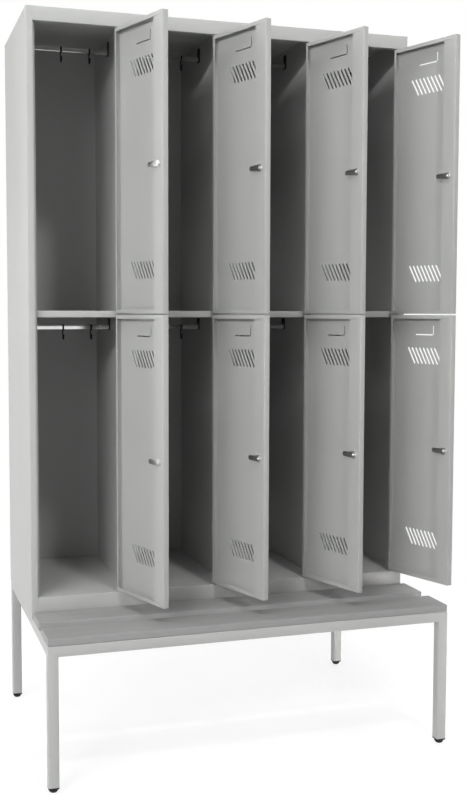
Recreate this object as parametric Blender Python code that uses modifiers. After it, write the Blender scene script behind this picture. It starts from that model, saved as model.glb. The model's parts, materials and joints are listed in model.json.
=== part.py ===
"""Steel cloakroom locker with eight doors, standing on a bench frame with a slatted seat.

Metres, +Z up. The front faces -Y. The doors stand open at their stops, as they rest.
Local places are measured from the middle of the body's front plane, at floor level, and one
empty carries everything, so that the world origin is the middle of the whole floor outline.
"""

import math

import bmesh
import bpy
from mathutils import Matrix, Vector

# Body
COLUMNS = 4
COLUMN_PITCH = 0.305
BODY_DEPTH = 0.515
BODY_HEIGHT = 1.800
SHEET = 0.001
SEAT_GAP = 0.0003
TOP_FASCIA = 0.041
BOTTOM_FASCIA = 0.063
POST_FACE = 0.020
POST_RETURN = 0.0215
STOP_LIP = 0.008
REAR_FLANGE = 0.012
FOOT_FLANGE = 0.028
SHELF_EDGE = 0.020
SHELF_RETURN = 0.010

# Doors
DOOR_GAP = 0.0025
DOOR_END_GAP = 0.003
DOOR_SEAM = 0.004
DOOR_THICKNESS = 0.019
DOOR_OPEN_ANGLE = math.radians(108.6)
HINGE_LIP = 0.009
END_LIP = 0.012
STILE_WIDTH = 0.047
VENT_SLOTS = 8
VENT_MARGIN = 0.101
VENT_HEIGHT = 0.052
VENT_SLOT_WIDTH = 0.006
VENT_PITCH = 0.016
VENT_LEAN = 0.030
VENT_START = 0.062
CARD_WIDTH = 0.072
CARD_HEIGHT = 0.025
CARD_SLIT = 0.002
CARD_START = 0.094
CARD_DROP = 0.0605
CARD_CORNER = 0.002

# Pivots
PIN_INSET = 0.006
PIN_DEPTH = 0.0055
PIN_RADIUS = 0.0028
PIN_CLEARANCE = 0.0003
PIN_LENGTH = 0.006
TAB_THICKNESS = 0.002
TAB_REACH = 0.005
TAB_FRONT = 0.0008
PIN_SIDES = 12

# Cam locks
LOCK_BARREL_RADIUS = 0.0095
LOCK_PLUG_RADIUS = 0.006
LOCK_CLEARANCE = 0.0003
LOCK_COLLAR_RADIUS = 0.0115
LOCK_COLLAR_THICKNESS = 0.002
LOCK_NUT_RADIUS = 0.0115
LOCK_NUT_THICKNESS = 0.0035
CAM_REACH = 0.0435
CAM_WIDTH = 0.017
CAM_THICKNESS = 0.0025
CAM_TIP_CHAMFER = 0.003
CAM_SCREW_RADIUS = 0.0048
CAM_SCREW_HEIGHT = 0.0025
KEYWAY_LENGTH = 0.007
KEYWAY_WIDTH = 0.0012
KEYWAY_DEPTH = 0.006
HEX_SIDES = 6
LOCK_SIDES = 16
CAM_END_SIDES = 6

# Coat rails and their hooks
RAIL_SETBACK = 0.286
RAIL_DEPTH = 0.020
RAIL_HEIGHT = 0.014
RAIL_CHAMFER = 0.002
UPPER_RAIL_DROP = 0.045
LOWER_RAIL_DROP = 0.026
BRACKET_THICKNESS = 0.006
BRACKET_DEPTH = 0.026
LOWER_BRACKET_ABOVE = 0.022
UPPER_BRACKET_ABOVE = 0.029
BRACKET_BELOW = 0.003
HOOK_CLIP = 0.002
HOOK_WIDTH = 0.005
HOOK_WIRE = 0.004
HOOK_SHANK = 0.022
HOOK_BEND = 0.009
HOOK_TIP = 0.007
HOOK_ARC_STEPS = 5
HOOK_PLACE_SHARES = (0.492, 0.793)

# Bench
BENCH_WIDTH = 1.230
BENCH_HEIGHT = 0.415
BENCH_SIDE_STEP = 0.003
BENCH_REAR_STEP = 0.015
BENCH_REACH = 0.290
TUBE = 0.030
TUBE_WALL = 0.0015
TUBE_ROUNDING = 0.0025
SLAT_THICKNESS = 0.021
SLAT_WIDTH = 0.118
SLAT_SETBACK = 0.001
SLAT_END_STEP = 0.001
SLAT_ROUNDING = 0.002
SLAT_BODY_GAP = 0.006
FOOT_HEIGHT = 0.016
FOOT_COLLAR = 0.002
FOOT_FLAT_RADIUS = 0.0105
FOOT_PLUG_HEIGHT = 0.014
FOOT_SIDES = 16
FOOT_ARC_STEPS = 4
ROUNDING_STEPS = 2

# Cutters run past what they cut by this much
OVERRUN = 0.005

# Worked out from the sizes above
BODY_WIDTH = COLUMNS * COLUMN_PITCH
BODY_LEFT = -BODY_WIDTH / 2
BODY_RIGHT = BODY_WIDTH / 2
BODY_BOTTOM = BENCH_HEIGHT + SEAT_GAP
BODY_TOP = BODY_BOTTOM + BODY_HEIGHT
OPENING_BOTTOM = BODY_BOTTOM + BOTTOM_FASCIA
OPENING_TOP = BODY_TOP - TOP_FASCIA
INNER_BACK = BODY_DEPTH - SHEET - SEAT_GAP
INNER_TOP = BODY_TOP - SHEET - SEAT_GAP
INNER_FRONT = POST_RETURN + SHEET + SEAT_GAP
DOOR_WIDTH = COLUMN_PITCH - 2 * (POST_FACE + DOOR_GAP)
SEAM_MIDDLE = (OPENING_BOTTOM + OPENING_TOP) / 2
LOWER_DOOR_BOTTOM = OPENING_BOTTOM + DOOR_END_GAP
UPPER_DOOR_BOTTOM = SEAM_MIDDLE + DOOR_SEAM / 2
DOOR_HEIGHT = SEAM_MIDDLE - DOOR_SEAM / 2 - LOWER_DOOR_BOTTOM
DOOR_BOTTOMS = {"lower": LOWER_DOOR_BOTTOM, "upper": UPPER_DOOR_BOTTOM}
STILE_START = DOOR_WIDTH - STILE_WIDTH
LOCK_PLACE = DOOR_WIDTH - STILE_WIDTH / 2
LOCK_HEIGHT = DOOR_HEIGHT / 2
SHELF_TOP = SEAM_MIDDLE + SHELF_EDGE / 2
SHELF_BOTTOM = SEAM_MIDDLE - SHELF_EDGE / 2
BENCH_LEFT = BODY_LEFT + BENCH_SIDE_STEP
BENCH_RIGHT = BENCH_LEFT + BENCH_WIDTH
BENCH_FRONT = -BENCH_REACH
BENCH_REAR = BODY_DEPTH + BENCH_REAR_STEP
CAM_FRONT = DOOR_THICKNESS + SEAT_GAP + LOCK_NUT_THICKNESS + SEAT_GAP


def pin_x(column):
    """X of the pivot axis at the right of a column."""
    return BODY_LEFT + (column + 1) * COLUMN_PITCH - POST_FACE - DOOR_GAP - PIN_INSET


def floor_outline_middle():
    """Middle of the whole outline on the floor, with the doors open."""
    closed_corner = Vector((PIN_INSET - DOOR_WIDTH, -PIN_DEPTH))
    reach = closed_corner.x * math.cos(DOOR_OPEN_ANGLE) - closed_corner.y * math.sin(DOOR_OPEN_ANGLE)
    right = max(pin_x(COLUMNS - 1) + reach, BENCH_RIGHT)
    return Vector(((BODY_LEFT + right) / 2, (BENCH_FRONT + BENCH_REAR) / 2, 0.0))


def clear_scene():
    """Remove every object of the open scene."""
    for thing in list(bpy.data.objects):
        bpy.data.objects.remove(thing, do_unlink=True)


def new_collection(name):
    """A new collection under the scene's own."""
    made = bpy.data.collections.new(name)
    bpy.context.scene.collection.children.link(made)
    return made


def finish(name, colour, roughness, metallic=0.0):
    """A Principled material."""
    made = bpy.data.materials.new(name)
    made.use_nodes = True
    shader = made.node_tree.nodes["Principled BSDF"]
    shader.inputs["Base Color"].default_value = (*colour, 1.0)
    shader.inputs["Roughness"].default_value = roughness
    shader.inputs["Metallic"].default_value = metallic
    return made


clear_scene()
PARTS = new_collection("locker_with_bench")
CUTTERS = new_collection("cutters")
ORIGIN = bpy.data.objects.new("locker_origin", None)
PARTS.objects.link(ORIGIN)
ORIGIN.location = -floor_outline_middle()

BODY_PAINT = finish("body_paint", (0.62, 0.62, 0.60), 0.45)
SEAT_PAINT = finish("seat_paint", (0.29, 0.29, 0.295), 0.6)
RAIL_STEEL = finish("rail_steel", (0.60, 0.60, 0.58), 0.3, 1.0)
LOCK_ZINC = finish("lock_zinc", (0.55, 0.55, 0.54), 0.3, 1.0)
FOOT_PLASTIC = finish("foot_plastic", (0.01, 0.01, 0.01), 0.5)


def add_box(mesh, low, high):
    """Add a box between two corners to a bmesh."""
    low, high = Vector(low), Vector(high)
    size = high - low
    place = Matrix.Translation((low + high) / 2) @ Matrix.Diagonal((*size, 1.0))
    bmesh.ops.create_cube(mesh, size=1.0, matrix=place)


def add_cylinder(mesh, middle, radius, depth, axis="Z", sides=PIN_SIDES):
    """Add a capped cylinder around a middle point, along X, Y or Z."""
    turns = {
        "X": Matrix.Rotation(math.pi / 2, 4, "Y"),
        "Y": Matrix.Rotation(math.pi / 2, 4, "X"),
        "Z": Matrix.Identity(4),
    }
    bmesh.ops.create_cone(
        mesh,
        cap_ends=True,
        segments=sides,
        radius1=radius,
        radius2=radius,
        depth=depth,
        matrix=Matrix.Translation(Vector(middle)) @ turns[axis],
    )


def add_prism(mesh, outline, axis, start, end):
    """Add a flat outline, given in the plane square to an axis, drawn out along that axis."""
    def corner(point, along):
        first, second = point
        return {"X": (along, first, second), "Y": (first, along, second), "Z": (first, second, along)}[axis]

    face = mesh.faces.new([mesh.verts.new(corner(point, start)) for point in outline])
    drawn = bmesh.ops.extrude_face_region(mesh, geom=[face])
    moved = [item for item in drawn["geom"] if isinstance(item, bmesh.types.BMVert)]
    shift = Vector(corner((0.0, 0.0), end - start))
    bmesh.ops.translate(mesh, verts=moved, vec=shift)


def to_object(name, mesh, collection=PARTS, material=None):
    """Turn a bmesh into a linked object, with every face pointing out."""
    bmesh.ops.recalc_face_normals(mesh, faces=mesh.faces[:])
    data = bpy.data.meshes.new(name)
    mesh.to_mesh(data)
    mesh.free()
    if material is not None:
        data.materials.append(material)
    made = bpy.data.objects.new(name, data)
    collection.objects.link(made)
    if collection is CUTTERS:
        made.hide_render = True
        made.display_type = "WIRE"
    made.parent = ORIGIN
    return made


def folded_sheet(name, path, axis, start, end, material=BODY_PAINT):
    """A strip folded along a path, with its thickness to the left of the path's direction."""
    mesh = bmesh.new()

    def corner(point, along):
        first, second = point
        return (along, first, second) if axis == "X" else (first, second, along)

    rows = [[mesh.verts.new(corner(point, along)) for point in path] for along in (start, end)]
    for here in range(len(path) - 1):
        mesh.faces.new((rows[0][here], rows[0][here + 1], rows[1][here + 1], rows[1][here]))
    data = bpy.data.meshes.new(name)
    mesh.to_mesh(data)
    mesh.free()
    data.materials.append(material)
    made = bpy.data.objects.new(name, data)
    PARTS.objects.link(made)
    made.parent = ORIGIN
    shell = made.modifiers.new("sheet", "SOLIDIFY")
    shell.thickness = SHEET
    shell.offset = -1.0
    shell.use_even_offset = True
    return made


def combine(target, helper, operation):
    """Cut or join a helper mesh with an exact Boolean."""
    step = target.modifiers.new(helper.name, "BOOLEAN")
    step.operation = operation
    step.solver = "EXACT"
    step.object = helper
    return step


def cut(target, mesh, name):
    """Cut a bmesh out of an object."""
    return combine(target, to_object(name, mesh, CUTTERS), "DIFFERENCE")


def join(target, mesh, name):
    """Join a bmesh to an object."""
    return combine(target, to_object(name, mesh, CUTTERS), "UNION")


def rounded_edges(target, width, steps=ROUNDING_STEPS):
    """Round an object's sharp edges."""
    step = target.modifiers.new("rounding", "BEVEL")
    step.width = width
    step.segments = steps
    step.limit_method = "ANGLE"


def baked_mesh(target):
    """The mesh of an object with its modifiers applied. The object is removed."""
    bpy.context.view_layer.update()
    graph = bpy.context.evaluated_depsgraph_get()
    data = bpy.data.meshes.new_from_object(target.evaluated_get(graph))
    data.name = target.name
    bpy.data.objects.remove(target, do_unlink=True)
    return data


def place_copy(name, data, location, turn=0.0):
    """Another object on a shared mesh."""
    made = bpy.data.objects.new(name, data)
    PARTS.objects.link(made)
    made.parent = ORIGIN
    made.location = location
    made.rotation_euler.z = turn
    return made


def smooth_round(data, angle=math.radians(40.0)):
    """Shade a mesh smooth with its sharp edges kept."""
    data.shade_smooth()
    data.set_sharp_from_angle(angle=angle)


# Hinge pieces carried by the body

def add_hinge_tab(mesh, column):
    """The pin plate between the two doors of a column, with its double pin."""
    x = pin_x(column)
    post = BODY_LEFT + (column + 1) * COLUMN_PITCH - POST_FACE + SHEET / 2
    low = (x - TAB_REACH, TAB_FRONT, SEAM_MIDDLE - TAB_THICKNESS / 2)
    high = (post, PIN_DEPTH + TAB_REACH, SEAM_MIDDLE + TAB_THICKNESS / 2)
    add_box(mesh, low, high)


def add_tab_pin(mesh, column):
    """The pin through a hinge plate, reaching into both doors."""
    length = DOOR_SEAM + 2 * PIN_LENGTH
    add_cylinder(mesh, (pin_x(column), PIN_DEPTH, SEAM_MIDDLE), PIN_RADIUS, length)


def add_end_pins(mesh, sheet_face, inward):
    """The pins that stand in the opening's end, one at each column, toward the doors."""
    length = SHEET / 2 + DOOR_END_GAP + PIN_LENGTH
    middle = sheet_face - inward * SHEET / 2 + inward * length / 2
    for column in range(COLUMNS):
        add_cylinder(mesh, (pin_x(column), PIN_DEPTH, middle), PIN_RADIUS, length)


# Body panels

def foot_flange(mesh, wall, inner):
    """The flange under a side wall, which stands on the bench frame."""
    add_box(mesh, (min(wall, inner), INNER_FRONT, BODY_BOTTOM), (max(wall, inner), INNER_BACK - SHEET / 2, BODY_BOTTOM + SHEET))


def make_side_left():
    """The left wall with its front post, stop lip and flanges, folded from one sheet."""
    post_inner = BODY_LEFT + POST_FACE
    path = [
        (BODY_LEFT + REAR_FLANGE, INNER_BACK),
        (BODY_LEFT, INNER_BACK),
        (BODY_LEFT, 0.0),
        (post_inner, 0.0),
        (post_inner, POST_RETURN),
        (post_inner + STOP_LIP, POST_RETURN),
    ]
    side = folded_sheet("side_left", path, "Z", BODY_BOTTOM, INNER_TOP)
    flange = bmesh.new()
    foot_flange(flange, BODY_LEFT + SHEET / 2, BODY_LEFT + FOOT_FLANGE)
    join(side, flange, "side_left_foot_flange")


def make_side_right():
    """The right wall, which also carries the last column's hinge plate."""
    post_inner = BODY_RIGHT - POST_FACE
    path = [
        (post_inner - STOP_LIP, POST_RETURN),
        (post_inner, POST_RETURN),
        (post_inner, 0.0),
        (BODY_RIGHT, 0.0),
        (BODY_RIGHT, INNER_BACK),
        (BODY_RIGHT - REAR_FLANGE, INNER_BACK),
    ]
    side = folded_sheet("side_right", path, "Z", BODY_BOTTOM, INNER_TOP)
    extra = bmesh.new()
    foot_flange(extra, BODY_RIGHT - SHEET / 2, BODY_RIGHT - FOOT_FLANGE)
    add_hinge_tab(extra, COLUMNS - 1)
    join(side, extra, "side_right_flange_and_tab")
    pin = bmesh.new()
    add_tab_pin(pin, COLUMNS - 1)
    join(side, pin, "side_right_pin")


def make_partition(number):
    """A wall between two columns: a hat-shaped front post, a web behind it and a hinge plate."""
    x = BODY_LEFT + number * COLUMN_PITCH
    low = OPENING_BOTTOM + SEAT_GAP
    high = OPENING_TOP - SEAT_GAP
    path = [
        (x - POST_FACE - STOP_LIP, POST_RETURN),
        (x - POST_FACE, POST_RETURN),
        (x - POST_FACE, 0.0),
        (x + POST_FACE, 0.0),
        (x + POST_FACE, POST_RETURN),
        (x + POST_FACE + STOP_LIP, POST_RETURN),
    ]
    wall = folded_sheet(f"partition_{number}", path, "Z", low, high)
    web_outline = [
        (SHEET / 2, low),
        (INNER_BACK - SEAT_GAP, low),
        (INNER_BACK - SEAT_GAP, INNER_TOP),
        (INNER_FRONT, INNER_TOP),
        (INNER_FRONT, high),
        (SHEET / 2, high),
    ]
    web = bmesh.new()
    add_prism(web, web_outline, "X", x - SHEET / 2, x + SHEET / 2)
    add_hinge_tab(web, number - 1)
    join(wall, web, f"partition_{number}_web_and_tab")
    pin = bmesh.new()
    add_tab_pin(pin, number - 1)
    join(wall, pin, f"partition_{number}_pin")


def make_top_panel():
    """The top sheet with its front fascia and the fascia's return, over the side walls."""
    path = [
        (INNER_BACK, BODY_TOP),
        (0.0, BODY_TOP),
        (0.0, OPENING_TOP),
        (POST_RETURN - SEAT_GAP, OPENING_TOP),
    ]
    top = folded_sheet("top_panel", path, "X", BODY_LEFT, BODY_RIGHT)
    corners = bmesh.new()
    for outer, inner in (
        (BODY_LEFT - OVERRUN, BODY_LEFT + POST_FACE + SEAT_GAP),
        (BODY_RIGHT - POST_FACE - SEAT_GAP, BODY_RIGHT + OVERRUN),
    ):
        add_box(corners, (outer, -OVERRUN, OPENING_TOP - OVERRUN), (inner, INNER_FRONT, BODY_TOP - SHEET))
    cut(top, corners, "top_panel_post_corners")
    pins = bmesh.new()
    add_end_pins(pins, OPENING_TOP, -1.0)
    join(top, pins, "top_panel_pins")


def make_bottom_panel():
    """The floor sheet with its front fascia, rear leg and foot return, between the side walls."""
    rear = INNER_BACK - SHEET - SEAT_GAP
    path = [
        (rear, BODY_BOTTOM + SHEET + SEAT_GAP),
        (rear, OPENING_BOTTOM),
        (0.0, OPENING_BOTTOM),
        (0.0, BODY_BOTTOM),
        (POST_RETURN, BODY_BOTTOM),
    ]
    inset = SHEET + SEAT_GAP
    bottom = folded_sheet("bottom_panel", path, "X", BODY_LEFT + inset, BODY_RIGHT - inset)
    corners = bmesh.new()
    for outer, inner in (
        (BODY_LEFT - OVERRUN, BODY_LEFT + POST_FACE + SEAT_GAP),
        (BODY_RIGHT - POST_FACE - SEAT_GAP, BODY_RIGHT + OVERRUN),
    ):
        add_box(corners, (outer, -OVERRUN, BODY_BOTTOM - OVERRUN), (inner, INNER_FRONT, OPENING_BOTTOM + OVERRUN))
    for outer, inner in (
        (BODY_LEFT - OVERRUN, BODY_LEFT + POST_FACE + STOP_LIP + SEAT_GAP),
        (BODY_RIGHT - POST_FACE - STOP_LIP - SEAT_GAP, BODY_RIGHT + OVERRUN),
    ):
        low = (outer, POST_RETURN - SEAT_GAP, BODY_BOTTOM - OVERRUN)
        add_box(corners, low, (inner, INNER_FRONT + OVERRUN, OPENING_BOTTOM + OVERRUN))
    step = cut(bottom, corners, "bottom_panel_post_corners")
    step.use_self = True
    pins = bmesh.new()
    add_end_pins(pins, OPENING_BOTTOM, 1.0)
    join(bottom, pins, "bottom_panel_pins")


def make_back_panel():
    """The flat sheet that closes the back."""
    mesh = bmesh.new()
    add_box(mesh, (BODY_LEFT, BODY_DEPTH - SHEET, BODY_BOTTOM), (BODY_RIGHT, BODY_DEPTH, BODY_TOP))
    to_object("back_panel", mesh, material=BODY_PAINT)


def make_shelf_mesh():
    """One shelf pan, open below, with a return round its lower edge. It starts at its front left corner."""
    inset = SHEET + SEAT_GAP
    width = COLUMN_PITCH - 2 * inset
    depth = INNER_BACK - SHEET - SEAT_GAP - INNER_FRONT
    pan = bmesh.new()
    add_box(pan, (0.0, 0.0, 0.0), (width, depth, SHELF_EDGE))
    shelf = to_object("shelf", pan, material=BODY_PAINT)
    hollow = bmesh.new()
    add_box(hollow, (SHEET, SHEET, SHEET), (width - SHEET, depth - SHEET, SHELF_EDGE - SHEET))
    cut(shelf, hollow, "shelf_hollow")
    window = bmesh.new()
    add_box(
        window,
        (SHELF_RETURN, SHELF_RETURN, -OVERRUN),
        (width - SHELF_RETURN, depth - SHELF_RETURN, SHELF_EDGE / 2),
    )
    cut(shelf, window, "shelf_window")
    return baked_mesh(shelf)


# Doors

def door_x(along):
    """Local x of a place measured from the hinge end toward the free edge."""
    return PIN_INSET - along


def door_y(depth):
    """Local y of a depth behind the outer face."""
    return depth - PIN_DEPTH


def add_door_box(mesh, along, depth, height):
    """Add a box given by its reach along, behind and up the door."""
    low = (door_x(along[1]), door_y(depth[0]), height[0])
    high = (door_x(along[0]), door_y(depth[1]), height[1])
    add_box(mesh, low, high)


def add_vent(mesh, bottom):
    """Add one group of slanting slots, as cutters through the outer sheet."""
    half = VENT_SLOT_WIDTH / 2
    for slot in range(VENT_SLOTS):
        top_place = VENT_START + slot * VENT_PITCH
        foot_place = top_place + VENT_LEAN
        outline = [
            (door_x(foot_place - half), bottom),
            (door_x(foot_place + half), bottom),
            (door_x(top_place + half), bottom + VENT_HEIGHT),
            (door_x(top_place - half), bottom + VENT_HEIGHT),
        ]
        add_prism(mesh, outline, "Y", door_y(-OVERRUN), door_y(SHEET + OVERRUN))


def make_door_mesh():
    """One door pan: outer sheet, returned edges and a boxed stile along the free edge."""
    pan = bmesh.new()
    add_door_box(pan, (0.0, DOOR_WIDTH), (0.0, DOOR_THICKNESS), (0.0, DOOR_HEIGHT))
    door = to_object("door", pan, material=BODY_PAINT)
    inner = (SHEET, DOOR_THICKNESS - SHEET)
    tall = (SHEET, DOOR_HEIGHT - SHEET)
    hollows = bmesh.new()
    add_door_box(hollows, (SHEET, STILE_START - SHEET), inner, tall)
    add_door_box(hollows, (STILE_START, DOOR_WIDTH - SHEET), inner, tall)
    cut(door, hollows, "door_hollows")
    window = bmesh.new()
    add_door_box(
        window,
        (HINGE_LIP, STILE_START - SHEET),
        (DOOR_THICKNESS / 2, DOOR_THICKNESS + OVERRUN),
        (END_LIP, DOOR_HEIGHT - END_LIP),
    )
    cut(door, window, "door_recess")
    vents = bmesh.new()
    add_vent(vents, VENT_MARGIN)
    add_vent(vents, DOOR_HEIGHT - VENT_MARGIN - VENT_HEIGHT)
    card_bottom = DOOR_HEIGHT - CARD_DROP
    through = (-OVERRUN, SHEET + OVERRUN)
    card_end = CARD_START + CARD_WIDTH
    add_door_box(vents, (CARD_START, card_end), through, (card_bottom - CARD_SLIT / 2, card_bottom + CARD_SLIT / 2))
    upright = card_end + CARD_CORNER
    add_door_box(
        vents,
        (upright, upright + CARD_SLIT),
        through,
        (card_bottom + CARD_CORNER, card_bottom + CARD_CORNER + CARD_HEIGHT),
    )
    cut(door, vents, "door_vents_and_card_slits")
    holes = bmesh.new()
    for end in (0.0, DOOR_HEIGHT):
        add_cylinder(holes, (0.0, 0.0, end), PIN_RADIUS + PIN_CLEARANCE, 2 * OVERRUN)
    lock_radius = LOCK_BARREL_RADIUS + LOCK_CLEARANCE
    lock_middle = (door_x(LOCK_PLACE), door_y(DOOR_THICKNESS / 2), LOCK_HEIGHT)
    add_cylinder(holes, lock_middle, lock_radius, DOOR_THICKNESS + 2 * OVERRUN, "Y", LOCK_SIDES)
    cut(door, holes, "door_pin_and_lock_holes")
    return baked_mesh(door)


# Cam locks, built round their own axis, which points along local y from the outer face inward

def make_barrel_mesh():
    """The fixed lock case: collar outside, barrel through the stile and hexagon nut inside."""
    rear = DOOR_THICKNESS + SEAT_GAP + LOCK_NUT_THICKNESS
    collar_front = -SEAT_GAP - LOCK_COLLAR_THICKNESS
    body = bmesh.new()
    barrel_front = -SEAT_GAP - LOCK_COLLAR_THICKNESS / 2
    middle = (barrel_front + rear) / 2
    add_cylinder(body, (0.0, middle, 0.0), LOCK_BARREL_RADIUS, rear - barrel_front, "Y", LOCK_SIDES)
    case = to_object("barrel", body, material=LOCK_ZINC)
    collar = bmesh.new()
    collar_middle = (0.0, (collar_front - SEAT_GAP) / 2, 0.0)
    add_cylinder(collar, collar_middle, LOCK_COLLAR_RADIUS, LOCK_COLLAR_THICKNESS, "Y", LOCK_SIDES)
    join(case, collar, "barrel_collar")
    nut = bmesh.new()
    nut_middle = (0.0, DOOR_THICKNESS + SEAT_GAP + LOCK_NUT_THICKNESS / 2 - SEAT_GAP / 2, 0.0)
    add_cylinder(nut, nut_middle, LOCK_NUT_RADIUS, LOCK_NUT_THICKNESS - SEAT_GAP, "Y", HEX_SIDES)
    join(case, nut, "barrel_nut")
    bore = bmesh.new()
    add_cylinder(bore, (0.0, middle, 0.0), LOCK_PLUG_RADIUS, rear - collar_front + 2 * OVERRUN, "Y", LOCK_SIDES)
    cut(case, bore, "barrel_bore")
    data = baked_mesh(case)
    smooth_round(data)
    return data


def cam_outline():
    """The cam plate in local x and z: round about the pivot, with a chamfered tip toward the hinge."""
    half = CAM_WIDTH / 2
    points = [
        (CAM_REACH - CAM_TIP_CHAMFER, -half),
        (CAM_REACH, CAM_TIP_CHAMFER - half),
        (CAM_REACH, half - CAM_TIP_CHAMFER),
        (CAM_REACH - CAM_TIP_CHAMFER, half),
    ]
    for step in range(CAM_END_SIDES + 1):
        angle = math.pi / 2 + math.pi * step / CAM_END_SIDES
        points.append((half * math.cos(angle), half * math.sin(angle)))
    return points


def make_cam_mesh():
    """The turning piece: plug with a keyway, cam plate and its screw."""
    front = -SEAT_GAP - LOCK_COLLAR_THICKNESS
    cam_rear = CAM_FRONT + CAM_THICKNESS
    plug_rear = CAM_FRONT + CAM_THICKNESS / 2
    plug = bmesh.new()
    radius = LOCK_PLUG_RADIUS - LOCK_CLEARANCE
    add_cylinder(plug, (0.0, (front + plug_rear) / 2, 0.0), radius, plug_rear - front, "Y", LOCK_SIDES)
    cam = to_object("cam", plug, material=LOCK_ZINC)
    plate = bmesh.new()
    add_prism(plate, cam_outline(), "Y", CAM_FRONT, cam_rear)
    join(cam, plate, "cam_plate")
    screw = bmesh.new()
    screw_front = cam_rear - CAM_THICKNESS / 2
    screw_rear = cam_rear + CAM_SCREW_HEIGHT
    screw_middle = (0.0, (screw_front + screw_rear) / 2, 0.0)
    add_cylinder(screw, screw_middle, CAM_SCREW_RADIUS, screw_rear - screw_front, "Y", LOCK_SIDES)
    join(cam, screw, "cam_screw")
    keyway = bmesh.new()
    half_width = KEYWAY_WIDTH / 2
    half_length = KEYWAY_LENGTH / 2
    add_box(keyway, (-half_width, front - OVERRUN, -half_length), (half_width, front + KEYWAY_DEPTH, half_length))
    cut(cam, keyway, "cam_keyway")
    data = baked_mesh(cam)
    smooth_round(data)
    return data


# Coat rails

def hook_outline(rail_bottom):
    """The J of a hook as an outline in y and z: a shank, a half turn to the front and a tip."""
    half = HOOK_WIRE / 2
    shank_top = rail_bottom
    bend_z = rail_bottom - HOOK_SHANK
    outer = [(half, shank_top)]
    inner = [(-half, shank_top)]
    for step in range(HOOK_ARC_STEPS + 1):
        angle = -math.pi * step / HOOK_ARC_STEPS
        for side, radius in ((outer, HOOK_BEND + half), (inner, HOOK_BEND - half)):
            side.append((radius * math.cos(angle) - HOOK_BEND, bend_z + radius * math.sin(angle)))
    outer.append((-2 * HOOK_BEND - half, bend_z + HOOK_TIP))
    inner.append((-2 * HOOK_BEND + half, bend_z + HOOK_TIP))
    return outer + inner[::-1]


def make_coat_rail(name, column, top, bracket_above):
    """A rail across one compartment, with its end brackets and hooks."""
    inset = SHEET + SEAT_GAP
    left = BODY_LEFT + column * COLUMN_PITCH + inset
    right = left + COLUMN_PITCH - 2 * inset
    bottom = top - RAIL_HEIGHT
    rear = RAIL_SETBACK + RAIL_DEPTH
    middle_y = RAIL_SETBACK + RAIL_DEPTH / 2
    outline = [
        (RAIL_SETBACK + RAIL_CHAMFER, bottom),
        (rear - RAIL_CHAMFER, bottom),
        (rear, bottom + RAIL_CHAMFER),
        (rear, top - RAIL_CHAMFER),
        (rear - RAIL_CHAMFER, top),
        (RAIL_SETBACK + RAIL_CHAMFER, top),
        (RAIL_SETBACK, top - RAIL_CHAMFER),
        (RAIL_SETBACK, bottom + RAIL_CHAMFER),
    ]
    bar = bmesh.new()
    add_prism(bar, outline, "X", left + BRACKET_THICKNESS / 2, right - BRACKET_THICKNESS / 2)
    rail = to_object(name, bar, material=RAIL_STEEL)
    brackets = bmesh.new()
    for start in (left, right - BRACKET_THICKNESS):
        low = (start, middle_y - BRACKET_DEPTH / 2, bottom - BRACKET_BELOW)
        high = (start + BRACKET_THICKNESS, middle_y + BRACKET_DEPTH / 2, top + bracket_above)
        add_box(brackets, low, high)
    join(rail, brackets, f"{name}_brackets")
    hooks = bmesh.new()
    hook = [(middle_y + y, z) for y, z in hook_outline(bottom - HOOK_CLIP / 2)]
    clips = bmesh.new()
    for share in HOOK_PLACE_SHARES:
        x = left + share * (right - left)
        low = (x - HOOK_WIDTH / 2, RAIL_SETBACK - HOOK_CLIP, bottom - HOOK_CLIP)
        high = (x + HOOK_WIDTH / 2, rear + HOOK_CLIP, top + HOOK_CLIP)
        add_box(clips, low, high)
        add_prism(hooks, hook, "X", x - HOOK_WIRE / 2, x + HOOK_WIRE / 2)
    join(rail, clips, f"{name}_clips")
    join(rail, hooks, f"{name}_hooks")


# Bench

def make_tube(name, low, high, axis, closed_end=False):
    """A square tube between two corners, hollow along an axis. A closed end keeps its upper wall."""
    outer = bmesh.new()
    add_box(outer, low, high)
    tube = to_object(name, outer, material=BODY_PAINT)
    step = tube.modifiers.new("rounding", "BEVEL")
    step.width = TUBE_ROUNDING
    step.segments = ROUNDING_STEPS
    step.limit_method = "WEIGHT"
    weights = tube.data.attributes.new("bevel_weight_edge", "FLOAT", "EDGE")
    along = "XYZ".index(axis)
    for edge in tube.data.edges:
        first, second = (tube.data.vertices[corner].co for corner in edge.vertices)
        runs = abs(first[along] - second[along]) > max(
            abs(first[other] - second[other]) for other in range(3) if other != along
        )
        weights.data[edge.index].value = 1.0 if runs else 0.0
    inside_low = [value + TUBE_WALL for value in low]
    inside_high = [value - TUBE_WALL for value in high]
    inside_low[along] = low[along] - OVERRUN
    inside_high[along] = high[along] - TUBE_WALL if closed_end else high[along] + OVERRUN
    hollow = bmesh.new()
    add_box(hollow, inside_low, inside_high)
    cut(tube, hollow, f"{name}_hollow")


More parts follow.
